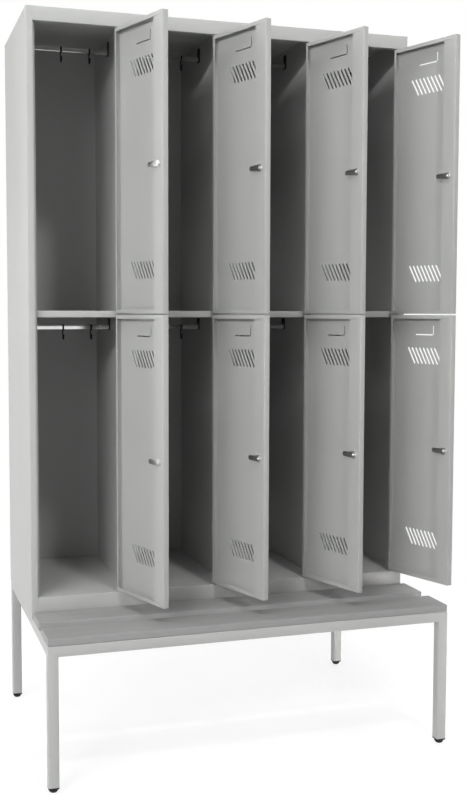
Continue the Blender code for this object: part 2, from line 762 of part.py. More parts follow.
def make_foot_mesh():
    """One glide: a plug for the tube, a square collar and a dome with a flat tread."""
    half = TUBE / 2
    tread = bpy.data.meshes.new("foot")
    profile = bmesh.new()
    dome_top = FOOT_HEIGHT - FOOT_COLLAR
    overlap = FOOT_COLLAR / 2
    points = [(0.0, dome_top + overlap), (half - overlap / 2, dome_top + overlap)]
    for step in range(FOOT_ARC_STEPS + 1):
        angle = math.pi / 2 * step / FOOT_ARC_STEPS
        reach = FOOT_FLAT_RADIUS + (half - overlap / 2 - FOOT_FLAT_RADIUS) * math.cos(angle)
        points.append((reach, dome_top * (1.0 - math.sin(angle))))
    points.append((0.0, 0.0))
    rows = [profile.verts.new((x, 0.0, z)) for x, z in points]
    for here in range(len(rows) - 1):
        profile.edges.new((rows[here], rows[here + 1]))
    profile.to_mesh(tread)
    profile.free()
    tread.materials.append(FOOT_PLASTIC)
    foot = bpy.data.objects.new("foot", tread)
    PARTS.objects.link(foot)
    foot.parent = ORIGIN
    turn = foot.modifiers.new("turn", "SCREW")
    turn.steps = FOOT_SIDES
    turn.render_steps = FOOT_SIDES
    turn.use_merge_vertices = True
    turn.merge_threshold = 0.00001
    collar = bmesh.new()
    add_box(collar, (-half, -half, dome_top), (half, half, FOOT_HEIGHT))
    join(foot, collar, "foot_collar")
    plug_half = half - TUBE_WALL - SEAT_GAP
    plug = bmesh.new()
    plug_low = FOOT_HEIGHT - overlap
    add_box(plug, (-plug_half, -plug_half, plug_low), (plug_half, plug_half, FOOT_HEIGHT + FOOT_PLUG_HEIGHT))
    join(foot, plug, "foot_plug")
    data = baked_mesh(foot)
    smooth_round(data, math.radians(50.0))
    return data


def make_bench():
    """The welded tube frame, its glides and the two seat slats."""
    leg_bottom = FOOT_HEIGHT + SEAT_GAP
    foot_mesh = make_foot_mesh()
    for depth_name, front in (("front", BENCH_FRONT), ("rear", BENCH_REAR - TUBE)):
        for side_name, left in (("left", BENCH_LEFT), ("right", BENCH_RIGHT - TUBE)):
            corner = (left + TUBE, front + TUBE, BENCH_HEIGHT)
            make_tube(f"bench_leg_{depth_name}_{side_name}", (left, front, leg_bottom), corner, "Z", True)
            middle = (left + TUBE / 2, front + TUBE / 2, 0.0)
            place_copy(f"bench_foot_{depth_name}_{side_name}", foot_mesh, middle)
        low = (BENCH_LEFT + TUBE + SEAT_GAP, front, BENCH_HEIGHT - TUBE)
        high = (BENCH_RIGHT - TUBE - SEAT_GAP, front + TUBE, BENCH_HEIGHT)
        make_tube(f"bench_rail_{depth_name}", low, high, "X")
    for side_name, left in (("left", BENCH_LEFT), ("right", BENCH_RIGHT - TUBE)):
        low = (left, BENCH_FRONT + TUBE + SEAT_GAP, BENCH_HEIGHT - TUBE)
        high = (left + TUBE, BENCH_REAR - TUBE - SEAT_GAP, BENCH_HEIGHT)
        make_tube(f"bench_rail_{side_name}", low, high, "Y")
    slat_bottom = BENCH_HEIGHT + SEAT_GAP
    slat_left = BENCH_LEFT + SLAT_END_STEP
    slat_right = BENCH_RIGHT - SLAT_END_STEP
    for name, front in (
        ("seat_slat_front", BENCH_FRONT + SLAT_SETBACK),
        ("seat_slat_rear", -SLAT_BODY_GAP - SLAT_WIDTH),
    ):
        mesh = bmesh.new()
        high = (slat_right, front + SLAT_WIDTH, slat_bottom + SLAT_THICKNESS)
        add_box(mesh, (slat_left, front, slat_bottom), high)
        slat = to_object(name, mesh, material=SEAT_PAINT)
        rounded_edges(slat, SLAT_ROUNDING)


# Assembly

def make_body():
    """The cabinet's panels, shelves and coat rails."""
    make_side_left()
    make_side_right()
    for number in range(1, COLUMNS):
        make_partition(number)
    make_top_panel()
    make_bottom_panel()
    make_back_panel()
    shelf_mesh = make_shelf_mesh()
    inset = SHEET + SEAT_GAP
    rails = {
        "lower": (SHELF_BOTTOM - LOWER_RAIL_DROP, LOWER_BRACKET_ABOVE),
        "upper": (BODY_TOP - UPPER_RAIL_DROP, UPPER_BRACKET_ABOVE),
    }
    for column in range(COLUMNS):
        left = BODY_LEFT + column * COLUMN_PITCH
        place_copy(f"shelf_{column + 1}", shelf_mesh, (left + inset, INNER_FRONT, SHELF_BOTTOM))
        for tier, (top, bracket_above) in rails.items():
            make_coat_rail(f"coat_rail_{column + 1}_{tier}", column, top, bracket_above)


def make_doors():
    """The doors on their pivots, each with its lock case and turning cam."""
    door_mesh = make_door_mesh()
    barrel_mesh = make_barrel_mesh()
    cam_mesh = make_cam_mesh()
    turn = Matrix.Rotation(DOOR_OPEN_ANGLE, 4, "Z")
    lock_local = Vector((door_x(LOCK_PLACE), door_y(0.0), LOCK_HEIGHT))
    for column in range(COLUMNS):
        for tier, bottom in DOOR_BOTTOMS.items():
            label = f"{column + 1}_{tier}"
            pivot = Vector((pin_x(column), PIN_DEPTH, bottom))
            place_copy(f"door_{label}", door_mesh, pivot, DOOR_OPEN_ANGLE)
            lock = pivot + turn @ lock_local
            place_copy(f"lock_barrel_{label}", barrel_mesh, lock, DOOR_OPEN_ANGLE)
            place_copy(f"lock_cam_{label}", cam_mesh, lock, DOOR_OPEN_ANGLE)


make_body()
make_doors()
make_bench()
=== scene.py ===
"""Dresses a steel locker with a bench: finishes, folded panels, doors, locks, rails, light and camera.

Every length is in metres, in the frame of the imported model: +Z up, the front towards -Y.
"""

from __future__ import annotations

import json
import logging
import math
from dataclasses import dataclass
from enum import Enum
from typing import Sequence

import bmesh
import bpy
from mathutils import Matrix, Vector

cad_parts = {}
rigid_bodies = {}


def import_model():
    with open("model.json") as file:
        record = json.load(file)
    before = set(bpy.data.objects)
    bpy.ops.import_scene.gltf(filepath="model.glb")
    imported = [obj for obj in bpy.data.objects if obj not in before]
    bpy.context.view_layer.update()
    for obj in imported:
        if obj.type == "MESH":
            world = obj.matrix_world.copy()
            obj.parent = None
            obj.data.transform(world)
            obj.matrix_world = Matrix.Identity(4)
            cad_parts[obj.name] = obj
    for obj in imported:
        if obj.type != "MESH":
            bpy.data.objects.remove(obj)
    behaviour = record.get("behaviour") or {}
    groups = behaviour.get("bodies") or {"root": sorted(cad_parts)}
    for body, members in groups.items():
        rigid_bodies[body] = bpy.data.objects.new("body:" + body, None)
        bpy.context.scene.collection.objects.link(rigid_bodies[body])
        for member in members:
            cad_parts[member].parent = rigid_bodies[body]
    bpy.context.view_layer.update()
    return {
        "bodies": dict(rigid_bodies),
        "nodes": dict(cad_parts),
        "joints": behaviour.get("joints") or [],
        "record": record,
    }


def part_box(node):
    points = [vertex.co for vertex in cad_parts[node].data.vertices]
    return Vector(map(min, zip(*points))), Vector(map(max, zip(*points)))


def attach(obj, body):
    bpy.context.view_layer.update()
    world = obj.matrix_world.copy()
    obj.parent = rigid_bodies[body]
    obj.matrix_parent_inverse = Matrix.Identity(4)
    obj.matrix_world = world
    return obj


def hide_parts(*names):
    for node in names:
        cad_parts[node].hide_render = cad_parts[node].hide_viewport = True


LOG = logging.getLogger("locker")

Point2 = tuple[float, float]
Point3 = tuple[float, float, float]
Colour = tuple[float, float, float]

BENCH_CORNERS = ("front_left", "front_right", "rear_left", "rear_right")
WHITE = (1.0, 1.0, 1.0, 1.0)

# How round forms are drawn: the least angle that stays sharp, then flat steps and sides
SMOOTH_ANGLE = math.radians(32.0)
EDGE_STEPS = 2
FOLD_STEPS = 3
CORNER_STEPS = 4
PIN_SIDES = 20
ROUND_SIDES = 32

# Ranges and scales of the textures
NOISE_RANGE = (0.3, 0.7)
PORE_RANGE = (0.28, 0.42)
PORE_SCALE = 7.0
CLOUD_TONE = (-1.0, 1.0)
CLOUD_ROUGHNESS = (-0.05, 0.06)
SPECK_TONE = (-0.35, 0.35)
SPECK_SCALE = 1500.0
DRAWN_STRETCH = (0.03, 1.0, 1.0)


class Axis(Enum):
    """A direction that an outline is drawn out along."""

    X = 0
    Y = 1
    Z = 2


class Slot(Enum):
    """The record's material slots."""

    BODY = "body_paint"
    SEAT = "seat_paint"
    RAIL = "rail_steel"
    LOCK = "lock_zinc"
    FOOT = "foot_plastic"


class Tier(Enum):
    """The two rows of compartments."""

    LOWER = "lower"
    UPPER = "upper"


# Sizes that the sub-assemblies share


@dataclass(frozen=True)
class LockerPlan:
    """Where the locker's main planes lie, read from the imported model, and the sizes of its sheet work."""

    left: float
    right: float
    front: float
    rear: float
    bottom: float
    top: float
    columns: int = 4
    sheet: float = 0.001
    gap: float = 0.0003
    fold: float = 0.0014
    post_face: float = 0.020
    post_return: float = 0.0215
    stop_lip: float = 0.008
    top_fascia: float = 0.041
    bottom_fascia: float = 0.063
    rear_flange: float = 0.012
    foot_flange: float = 0.028
    weld_lap: float = 0.0008

    @classmethod
    def from_frame(cls) -> LockerPlan:
        """Read the body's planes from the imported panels.

        Returns:
            The plan.
        """
        side_low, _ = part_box("side_left")
        back_low, back_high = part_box("back_panel")
        return cls(
            left=back_low.x,
            right=back_high.x,
            front=side_low.y,
            rear=back_high.y,
            bottom=side_low.z,
            top=back_high.z,
        )

    @property
    def pitch(self) -> float:
        """Width of one column."""
        return (self.right - self.left) / self.columns

    @property
    def opening_top(self) -> float:
        """Height of the top fascia's lower edge."""
        return self.top - self.top_fascia

    @property
    def opening_bottom(self) -> float:
        """Height of the floor sheet."""
        return self.bottom + self.bottom_fascia

    def boundary(self, number: int) -> float:
        """X of a boundary between columns, counted from the left.

        Args:
            number: 0 for the left side, then one for each column.

        Returns:
            The boundary's place along X.
        """
        return self.left + number * self.pitch


# Mesh building


def link_object(name: str, data: bpy.types.ID) -> bpy.types.Object:
    """Put data into the scene as a new object.

    Args:
        name: The object's name.
        data: Its mesh, light or camera.

    Returns:
        The linked object.
    """
    made = bpy.data.objects.new(name, data)
    bpy.context.scene.collection.objects.link(made)
    return made


class MeshDraft:
    """A mesh under construction, made of closed shells."""

    def __init__(self) -> None:
        """Start empty."""
        self.mesh = bmesh.new()

    def box(self, low: Sequence[float], high: Sequence[float]) -> MeshDraft:
        """Add a box.

        Args:
            low: The lowest corner.
            high: The highest corner.

        Returns:
            This draft.
        """
        low_corner, high_corner = Vector(low), Vector(high)
        place = Matrix.Translation((low_corner + high_corner) / 2)
        stretch = Matrix.Diagonal((*(high_corner - low_corner), 1.0))
        bmesh.ops.create_cube(self.mesh, size=1.0, matrix=place @ stretch)
        return self

    def add_ring(self, outline: Sequence[Point2], axis: Axis, along: float) -> list[bmesh.types.BMVert]:
        """Add the corners of an outline that lies square to an axis.

        Args:
            outline: Corners in the plane square to the axis, in X, Y, Z order.
            axis: The axis.
            along: The plane's place along it.

        Returns:
            The corners in order.
        """
        ring = []
        for corner in outline:
            place = list(corner)
            place.insert(axis.value, along)
            ring.append(self.mesh.verts.new(place))
        return ring

    def bridge(self, first: Sequence[bmesh.types.BMVert], last: Sequence[bmesh.types.BMVert]) -> None:
        """Join two rings by flat sides.

        Args:
            first: The first ring, or a single point.
            last: The last ring, or a single point.
        """
        sides = max(len(first), len(last))
        for here in range(sides):
            after = (here + 1) % sides
            corners = [
                first[here % len(first)],
                last[here % len(last)],
                last[after % len(last)],
                first[after % len(first)],
            ]
            unique = [corner for index, corner in enumerate(corners) if corner not in corners[:index]]
            self.mesh.faces.new(unique)

    def prism(self, outline: Sequence[Point2], axis: Axis, start: float, end: float) -> MeshDraft:
        """Add a flat outline drawn out along an axis.

        Args:
            outline: Corners in the plane square to the axis, in X, Y, Z order.
            axis: The direction to draw along.
            start: Where the prism starts along the axis.
            end: Where it ends.

        Returns:
            This draft.
        """
        first, last = (self.add_ring(outline, axis, along) for along in (start, end))
        self.mesh.faces.new(first)
        self.mesh.faces.new(last[::-1])
        self.bridge(first, last)
        return self

    def cylinder(self, middle: Point3, radius: float, depth: float, axis: Axis, sides: int) -> MeshDraft:
        """Add a capped cylinder.

        Args:
            middle: Its middle point.
            radius: Its radius.
            depth: Its length along the axis.
            axis: The direction of its axis.
            sides: Number of flat sides.

        Returns:
            This draft.
        """
        ring = circle_outline(radius, sides)
        others = [value for index, value in enumerate(middle) if index != axis.value]
        outline = [(others[0] + a, others[1] + b) for a, b in ring]
        start = middle[axis.value] - depth / 2
        return self.prism(outline, axis, start, start + depth)

    def tube(self, points: Sequence[Vector], radius: float, sides: int) -> MeshDraft:
        """Add a round bar that follows a line, with closed ends.

        Args:
            points: The centre line.
            radius: The bar's radius.
            sides: Number of flat sides.

        Returns:
            This draft.
        """
        rings = []
        side = (points[1] - points[0]).orthogonal().normalized()
        for here, point in enumerate(points):
            before = points[max(here - 1, 0)]
            after = points[min(here + 1, len(points) - 1)]
            ahead = (after - before).normalized()
            side = (side - ahead * side.dot(ahead)).normalized()
            up = ahead.cross(side)
            ring = [
                self.mesh.verts.new(point + side * (radius * a) + up * (radius * b))
                for a, b in circle_outline(1.0, sides)
            ]
            rings.append(ring)
        self.mesh.faces.new(rings[0])
        self.mesh.faces.new(rings[-1][::-1])
        for first, last in zip(rings, rings[1:]):
            self.bridge(first, last)
        return self

    def lathe(self, profile: Sequence[Point2], axis: Axis, sides: int) -> MeshDraft:
        """Add a turned shape about an axis through the origin.

        Args:
            profile: Radius and place along the axis, from one end's centre to the other's.
            axis: The axis to turn about.
            sides: Number of flat sides.

        Returns:
            This draft.
        """
        rings = []
        for radius, along in profile:
            outline = circle_outline(radius, sides) if radius > 0.0 else [(0.0, 0.0)]
            rings.append(self.add_ring(outline, axis, along))
        for first, last in zip(rings, rings[1:]):
            self.bridge(first, last)
        return self

    def finish(self, name: str, material: bpy.types.Material | None = None) -> bpy.types.Object:
        """Turn the draft into an object with every face pointing out.

        Args:
            name: The object's name.
            material: Its material, if any.

        Returns:
            The linked object.
        """
        bmesh.ops.recalc_face_normals(self.mesh, faces=self.mesh.faces[:])
        data = bpy.data.meshes.new(name)
        self.mesh.to_mesh(data)
        self.mesh.free()
        if material is not None:
            data.materials.append(material)
        return link_object(name, data)


def circle_outline(radius: float, sides: int) -> list[Point2]:
    """Corners of a regular outline.

    Args:
        radius: Distance of the corners from the middle.
        sides: Number of corners.

    Returns:
        The corners in order.
    """
    step = math.tau / sides
    return [(radius * math.cos(step * here), radius * math.sin(step * here)) for here in range(sides)]


def arc(centre: Point2, radius: float, start: float, sweep: float, steps: int) -> list[Point2]:
    """Points of an arc, both ends included.

    Args:
        centre: The arc's centre.
        radius: Its radius.
        start: Angle of its first point.
        sweep: Angle from its first point to its last.
        steps: Number of flat steps.

    Returns:
        The points in order.
    """
    points = []
    for step in range(steps + 1):
        angle = start + sweep * step / steps
        points.append((centre[0] + radius * math.cos(angle), centre[1] + radius * math.sin(angle)))
    return points


def rounded_rectangle(low: Point2, high: Point2, radius: float) -> list[Point2]:
    """Outline of a rectangle with round corners.

    Args:
        low: The lowest corner.
        high: The highest corner.
        radius: The corners' radius.

    Returns:
        The outline's corners in order.
    """
    centres = (
        (high[0] - radius, high[1] - radius, 0.0),
        (low[0] + radius, high[1] - radius, math.pi / 2),
        (low[0] + radius, low[1] + radius, math.pi),
        (high[0] - radius, low[1] + radius, 1.5 * math.pi),
    )
    outline = []
    for x, y, start in centres:
        outline += arc((x, y), radius, start, math.pi / 2, CORNER_STEPS)
    return outline


def rounded_path(path: Sequence[Point2], radius: float) -> list[Point2]:
    """Round the square corners of an open path.

    Args:
        path: The path's corners.
        radius: The radius along the path's own line.

    Returns:
        The longer path.
    """
    points = [Vector(corner) for corner in path]
    rounded = [tuple(points[0])]
    for before, here, after in zip(points, points[1:], points[2:]):
        back = (before - here).normalized()
        ahead = (after - here).normalized()
        centre = here + (back + ahead) * radius
        for step in range(FOLD_STEPS + 1):
            angle = math.pi / 2 * step / FOLD_STEPS
            place = centre - ahead * (radius * math.cos(angle)) - back * (radius * math.sin(angle))
            rounded.append(tuple(place))
    rounded.append(tuple(points[-1]))
    return rounded


def sheet_outline(path: Sequence[Point2], thickness: float) -> list[Point2]:
    """Closed outline of a strip that lies to the left of a path.

    Args:
        path: The strip's right-hand line.
        thickness: The strip's thickness.

    Returns:
        The outline: along the path, and back along its offset.
    """
    points = [Vector(corner) for corner in path]
    normals = []
    for before, after in zip(points, points[1:]):
        ahead = (after - before).normalized()
        normals.append(Vector((-ahead.y, ahead.x)))
    offset = []
    for here, point in enumerate(points):
        first = normals[max(here - 1, 0)]
        last = normals[min(here, len(normals) - 1)]
        middle = (first + last).normalized()
        offset.append(tuple(point + middle * (thickness / middle.dot(first))))
    return [tuple(point) for point in points] + offset[::-1]


def combine(target: bpy.types.Object, helper: bpy.types.Object, operation: str) -> None:
    """Apply an exact Boolean and remove the helper.

    Args:
        target: The object to change.
        helper: The object to join or cut with.
        operation: UNION or DIFFERENCE.
    """
    step = target.modifiers.new(helper.name, "BOOLEAN")
    step.operation = operation
    step.solver = "EXACT"
    step.use_self = operation == "DIFFERENCE"
    step.object = helper
    bake(target)
    bpy.data.objects.remove(helper, do_unlink=True)


def bake(target: bpy.types.Object) -> None:
    """Replace an object's mesh by the result of its modifiers.

    Args:
        target: The object to change.
    """
    bpy.context.view_layer.update()
    graph = bpy.context.evaluated_depsgraph_get()
    data = bpy.data.meshes.new_from_object(target.evaluated_get(graph))
    data.name = target.name
    target.modifiers.clear()
    target.data = data


def round_edges(target: bpy.types.Object, width: float, segments: int) -> None:
    """Round an object's sharp edges.

    Args:
        target: The object to change.
        width: The rounding's width.
        segments: Number of flat steps across each edge.
    """
    step = target.modifiers.new("rounding", "BEVEL")
    step.width = width
    step.segments = segments
    step.limit_method = "ANGLE"
    bake(target)


def shade(target: bpy.types.Object) -> bpy.types.Object:
    """Shade an object smooth, with its sharp edges kept.

    Args:
        target: The object to shade.

    Returns:
        The same object.
    """
    target.data.shade_smooth()
    target.data.set_sharp_from_angle(angle=SMOOTH_ANGLE)
    return target


# Finishes


class NodeSheet:
    """A node tree with short ways to add and join nodes."""

    def __init__(self, tree: bpy.types.NodeTree) -> None:
        """Work on a tree."""
        self.tree = tree

    def add(self, kind: str, **inputs: object) -> bpy.types.Node:
        """Add a node and set its inputs.

        Args:
            kind: The node's type.
            inputs: Socket names, with spaces as underscores, and their values.

        Returns:
            The node.
        """
        return self.fill(self.tree.nodes.new(kind), inputs)

    def place_group(self, group: bpy.types.NodeTree, **inputs: object) -> bpy.types.Node:
        """Add a node group and set its inputs.

        Args:
            group: The group to place.
            inputs: Socket names, with spaces as underscores, and their values.

        Returns:
            The group's node.
        """
        node = self.tree.nodes.new("ShaderNodeGroup")
        node.node_tree = group
        return self.fill(node, inputs)

    def fill(self, node: bpy.types.Node, inputs: dict[str, object]) -> bpy.types.Node:
        """Feed several inputs of a node.

        Args:
            node: The node to feed.
            inputs: Socket names, with spaces as underscores, and their values.

        Returns:
            The node.
        """
        for name, value in inputs.items():
            self.feed(node, name.replace("_", " "), value)
        return node

    def feed(self, node: bpy.types.Node, name: str | int, value: object) -> None:
        """Set an input to a value, or link it to an output.

        Args:
            node: The node to feed.
            name: The input's name or number.
            value: A number, a colour, a vector or an output socket.
        """
        if isinstance(value, bpy.types.NodeSocket):
            self.tree.links.new(value, node.inputs[name])
        else:
            node.inputs[name].default_value = value

    def math(self, operation: str, first: object, second: object = 0.0) -> bpy.types.NodeSocket:
        """Work out a value.

        Args:
            operation: The Math node's operation.
            first: The first value or output.
            second: The second value or output.

        Returns:
            The result's output socket.
        """
        node = self.tree.nodes.new("ShaderNodeMath")
        node.operation = operation
        self.feed(node, 0, first)
        self.feed(node, 1, second)
        return node.outputs[0]

    def spread(self, value: object, given: Point2, wanted: Point2) -> bpy.types.NodeSocket:
        """Map a range of values to another, with its ends held.

        Args:
            value: The value to map.
            given: The start and end of its range.
            wanted: What they become.

        Returns:
            The result's output socket.
        """
        ends = {"From Min": given[0], "From Max": given[1], "To Min": wanted[0], "To Max": wanted[1]}
        node = self.fill(self.tree.nodes.new("ShaderNodeMapRange"), ends | {"Value": value})
        return node.outputs["Result"]

    def blend(self, share: object, first: object, second: object, how: str = "MIX") -> bpy.types.NodeSocket:
        """Mix two colours.

        Args:
            share: How much of the second colour shows.
            first: The first colour.
            second: The second colour.
            how: The blend type.

        Returns:
            The mixed colour's output socket.
        """
        node = self.tree.nodes.new("ShaderNodeMix")
        node.data_type = "RGBA"
        node.blend_type = how
        self.feed(node, 0, share)
        self.feed(node, 6, first)
        self.feed(node, 7, second)
        return node.outputs[2]


def texture_group(
    name: str, inputs: dict[str, float], outputs: Sequence[str]
) -> tuple[NodeSheet, bpy.types.Node, bpy.types.Node]:
    """Start a shader node group whose named sockets hold numbers.

    Args:
        name: The group's name.
        inputs: Each input's name and default.
        outputs: Each output's name.

    Returns:
        The group's sheet, its input node and its output node.
    """
    tree = bpy.data.node_groups.new(name, "ShaderNodeTree")
    for label, default in inputs.items():
        socket = tree.interface.new_socket(label, in_out="INPUT", socket_type="NodeSocketFloat")
        socket.default_value = default
    for label in outputs:
        tree.interface.new_socket(label, in_out="OUTPUT", socket_type="NodeSocketFloat")
    return NodeSheet(tree), tree.nodes.new("NodeGroupInput"), tree.nodes.new("NodeGroupOutput")


def start_material(name: str) -> tuple[bpy.types.Material, NodeSheet, bpy.types.Node]:
    """Start a material.

    Args:
        name: The material's name.

    Returns:
        The material, its node sheet and its Principled shader.
    """
    made = bpy.data.materials.new(name)
    made.use_nodes = True
    return made, NodeSheet(made.node_tree), made.node_tree.nodes["Principled BSDF"]


def feed_coat(
    sheet: NodeSheet, shader: bpy.types.Node, texture: bpy.types.Node, colour: Colour, rough: float
) -> None:
    """Give a shader a coat's colour and roughness, varied by the coat's texture.

    Args:
        sheet: The material's node sheet.
        shader: Its shader.
        texture: The sprayed coat texture's node.
        colour: The coat's colour.
        rough: The coat's mean roughness.
    """
    shift = sheet.math("ADD", texture.outputs["Tone"], 1.0)
    tint = sheet.add("ShaderNodeCombineColor", Red=shift, Green=shift, Blue=shift).outputs[0]
    sheet.feed(shader, "Base Color", sheet.blend(1.0, (*colour, 1.0), tint, "MULTIPLY"))
    sheet.feed(shader, "Roughness", sheet.math("ADD", texture.outputs["Rough"], rough))


def feed_bump(
    sheet: NodeSheet, shader: bpy.types.Node, strength: float, distance: float, height: bpy.types.NodeSocket
) -> None:
    """Give a shader a bump.

    Args:
        sheet: The material's node sheet.
        shader: Its shader.
        strength: How strongly the bump shows.
        distance: The relief's depth.
        height: The output that gives the height.
    """
    bump = sheet.add("ShaderNodeBump", Strength=strength, Distance=distance, Height=height)
    sheet.feed(shader, "Normal", bump.outputs[0])


def make_coat_group() -> bpy.types.NodeTree:
    """Texture of sprayed powder: a fine orange peel, soft clouds of tone and a rub of dust.

    Returns:
        The node group, with Tone, Rough and Height outputs.
    """
    sheet, given, result = texture_group(
        "sprayed_coat",
        {"Peel Scale": 420.0, "Cloud Scale": 3.0, "Dust": 0.03},
        ("Tone", "Rough", "Height"),
    )
    place = sheet.add("ShaderNodeTexCoord").outputs["Object"]
    peel = sheet.add("ShaderNodeTexNoise", Vector=place, Detail=2.0, Roughness=0.45)
    sheet.feed(peel, "Scale", given.outputs["Peel Scale"])
    cloud = sheet.add("ShaderNodeTexNoise", Vector=place, Detail=4.0, Roughness=0.6)
    sheet.feed(cloud, "Scale", given.outputs["Cloud Scale"])
    speck = sheet.add("ShaderNodeTexNoise", Vector=place, Scale=SPECK_SCALE, Detail=1.0)
    cloud_tone = sheet.spread(cloud.outputs["Fac"], NOISE_RANGE, CLOUD_TONE)
    speck_tone = sheet.spread(speck.outputs["Fac"], NOISE_RANGE, SPECK_TONE)
    tone = sheet.math("ADD", cloud_tone, speck_tone)
    sheet.feed(result, "Tone", sheet.math("MULTIPLY", tone, given.outputs["Dust"]))
    sheet.feed(result, "Rough", sheet.spread(cloud.outputs["Fac"], NOISE_RANGE, CLOUD_ROUGHNESS))
    sheet.feed(result, "Height", peel.outputs["Fac"])
    return sheet.tree


def make_grain_group() -> bpy.types.NodeTree:
    """Texture of a pressed board's long faint grain, along X.

    Returns:
        The node group, with Grain, Pores and Height outputs.
    """
    sheet, given, result = texture_group(
        "long_grain",
        {"Length Scale": 1.6, "Width Scale": 60.0},
        ("Grain", "Pores", "Height"),
    )
    place = sheet.add("ShaderNodeTexCoord").outputs["Object"]
    split = sheet.add("ShaderNodeSeparateXYZ", Vector=place)
    long_way = sheet.math("MULTIPLY", split.outputs["X"], given.outputs["Length Scale"])
    across = sheet.math("MULTIPLY", split.outputs["Y"], given.outputs["Width Scale"])
    upward = sheet.math("MULTIPLY", split.outputs["Z"], given.outputs["Width Scale"])
    stretched = sheet.add("ShaderNodeCombineXYZ", X=long_way, Y=across, Z=upward).outputs[0]
    grain = sheet.add(
        "ShaderNodeTexNoise", Vector=stretched, Scale=1.0, Detail=5.0, Roughness=0.6, Distortion=0.4
    )
    pores = sheet.add("ShaderNodeTexNoise", Vector=stretched, Scale=PORE_SCALE, Detail=2.0, Roughness=0.5)
    dark_pores = sheet.spread(pores.outputs["Fac"], PORE_RANGE, (1.0, 0.0))
    sheet.feed(result, "Grain", sheet.spread(grain.outputs["Fac"], NOISE_RANGE, (0.0, 1.0)))
    sheet.feed(result, "Pores", dark_pores)
    sheet.feed(result, "Height", sheet.math("SUBTRACT", grain.outputs["Fac"], dark_pores))
    return sheet.tree


def make_brush_group() -> bpy.types.NodeTree:
    """Texture of drawn metal: fine lines along X and a blotchy zinc bloom.

    Returns:
        The node group, with Lines and Bloom outputs.
    """
    sheet, given, result = texture_group(
        "drawn_metal",
        {"Line Scale": 900.0, "Bloom Scale": 40.0},
        ("Lines", "Bloom"),
    )
    place = sheet.add("ShaderNodeTexCoord").outputs["Object"]
    flat = sheet.add("ShaderNodeMapping", Vector=place)
    flat.inputs["Scale"].default_value = DRAWN_STRETCH
    lines = sheet.add("ShaderNodeTexNoise", Vector=flat.outputs[0], Detail=2.0)
    sheet.feed(lines, "Scale", given.outputs["Line Scale"])
    bloom = sheet.add("ShaderNodeTexVoronoi", Vector=place)
    sheet.feed(bloom, "Scale", given.outputs["Bloom Scale"])
    sheet.feed(result, "Lines", lines.outputs["Fac"])
    sheet.feed(result, "Bloom", bloom.outputs["Distance"])
    return sheet.tree


@dataclass(frozen=True)
class PaintFinish:
    """A powder coat on steel."""

    name: str
    colour: Colour
    roughness: float = 0.50
    dust: float = 0.022
    peel: float = 0.10
    relief: float = 0.0004

    def build(self, coat: bpy.types.NodeTree) -> bpy.types.Material:
        """Make the material.

        Args:
            coat: The sprayed coat texture.

        Returns:
            The material.
        """
        made, sheet, shader = start_material(self.name)
        texture = sheet.place_group(coat, Dust=self.dust)
        feed_coat(sheet, shader, texture, self.colour, self.roughness)
        feed_bump(sheet, shader, self.peel, self.relief, texture.outputs["Height"])
        return made


@dataclass(frozen=True)
class BoardFinish:
    """A grey lacquered board with a faint grain."""

    name: str
    light: Colour
    dark: Colour
    roughness: float = 0.5
    polish: Point2 = (0.06, -0.04)
    pore_share: float = 0.25
    pore_shade: float = 0.75
    depth: float = 0.12
    relief: float = 0.0004

    def build(self, grain: bpy.types.NodeTree) -> bpy.types.Material:
        """Make the material.

        Args:
            grain: The long grain texture.

        Returns:
            The material.
        """
        made, sheet, shader = start_material(self.name)
        texture = sheet.place_group(grain)
        streaks = sheet.blend(texture.outputs["Grain"], (*self.dark, 1.0), (*self.light, 1.0))
        pored = sheet.math("MULTIPLY", texture.outputs["Pores"], self.pore_share)
        pore_colour = tuple(value * self.pore_shade for value in self.dark)
        sheet.feed(shader, "Base Color", sheet.blend(pored, streaks, (*pore_colour, 1.0)))
        rough = (self.roughness + self.polish[0], self.roughness + self.polish[1])
        sheet.feed(shader, "Roughness", sheet.spread(texture.outputs["Grain"], (0.0, 1.0), rough))
        feed_bump(sheet, shader, self.depth, self.relief, texture.outputs["Height"])
        return made


@dataclass(frozen=True)
class MetalFinish:
    """Bare or plated metal with drawing lines."""

    name: str
    colour: Colour
    roughness: float
    polish: Point2 = (-0.04, 0.06)
    line_range: Point2 = (0.2, 0.8)
    bloom: float = 0.15
    depth: float = 0.08
    relief: float = 0.0002

    def build(self, brush: bpy.types.NodeTree) -> bpy.types.Material:
        """Make the material.

        Args:
            brush: The drawn metal texture.

        Returns:
            The material.
        """
        made, sheet, shader = start_material(self.name)
        texture = sheet.place_group(brush)
        darker = tuple(value * (1.0 - self.bloom) for value in self.colour)
        colour = sheet.blend(texture.outputs["Bloom"], (*self.colour, 1.0), (*darker, 1.0))
        sheet.feed(shader, "Base Color", colour)
        shader.inputs["Metallic"].default_value = 1.0
        lines = texture.outputs["Lines"]
        rough = (self.roughness + self.polish[0], self.roughness + self.polish[1])
        sheet.feed(shader, "Roughness", sheet.spread(lines, self.line_range, rough))
        feed_bump(sheet, shader, self.depth, self.relief, lines)
        return made


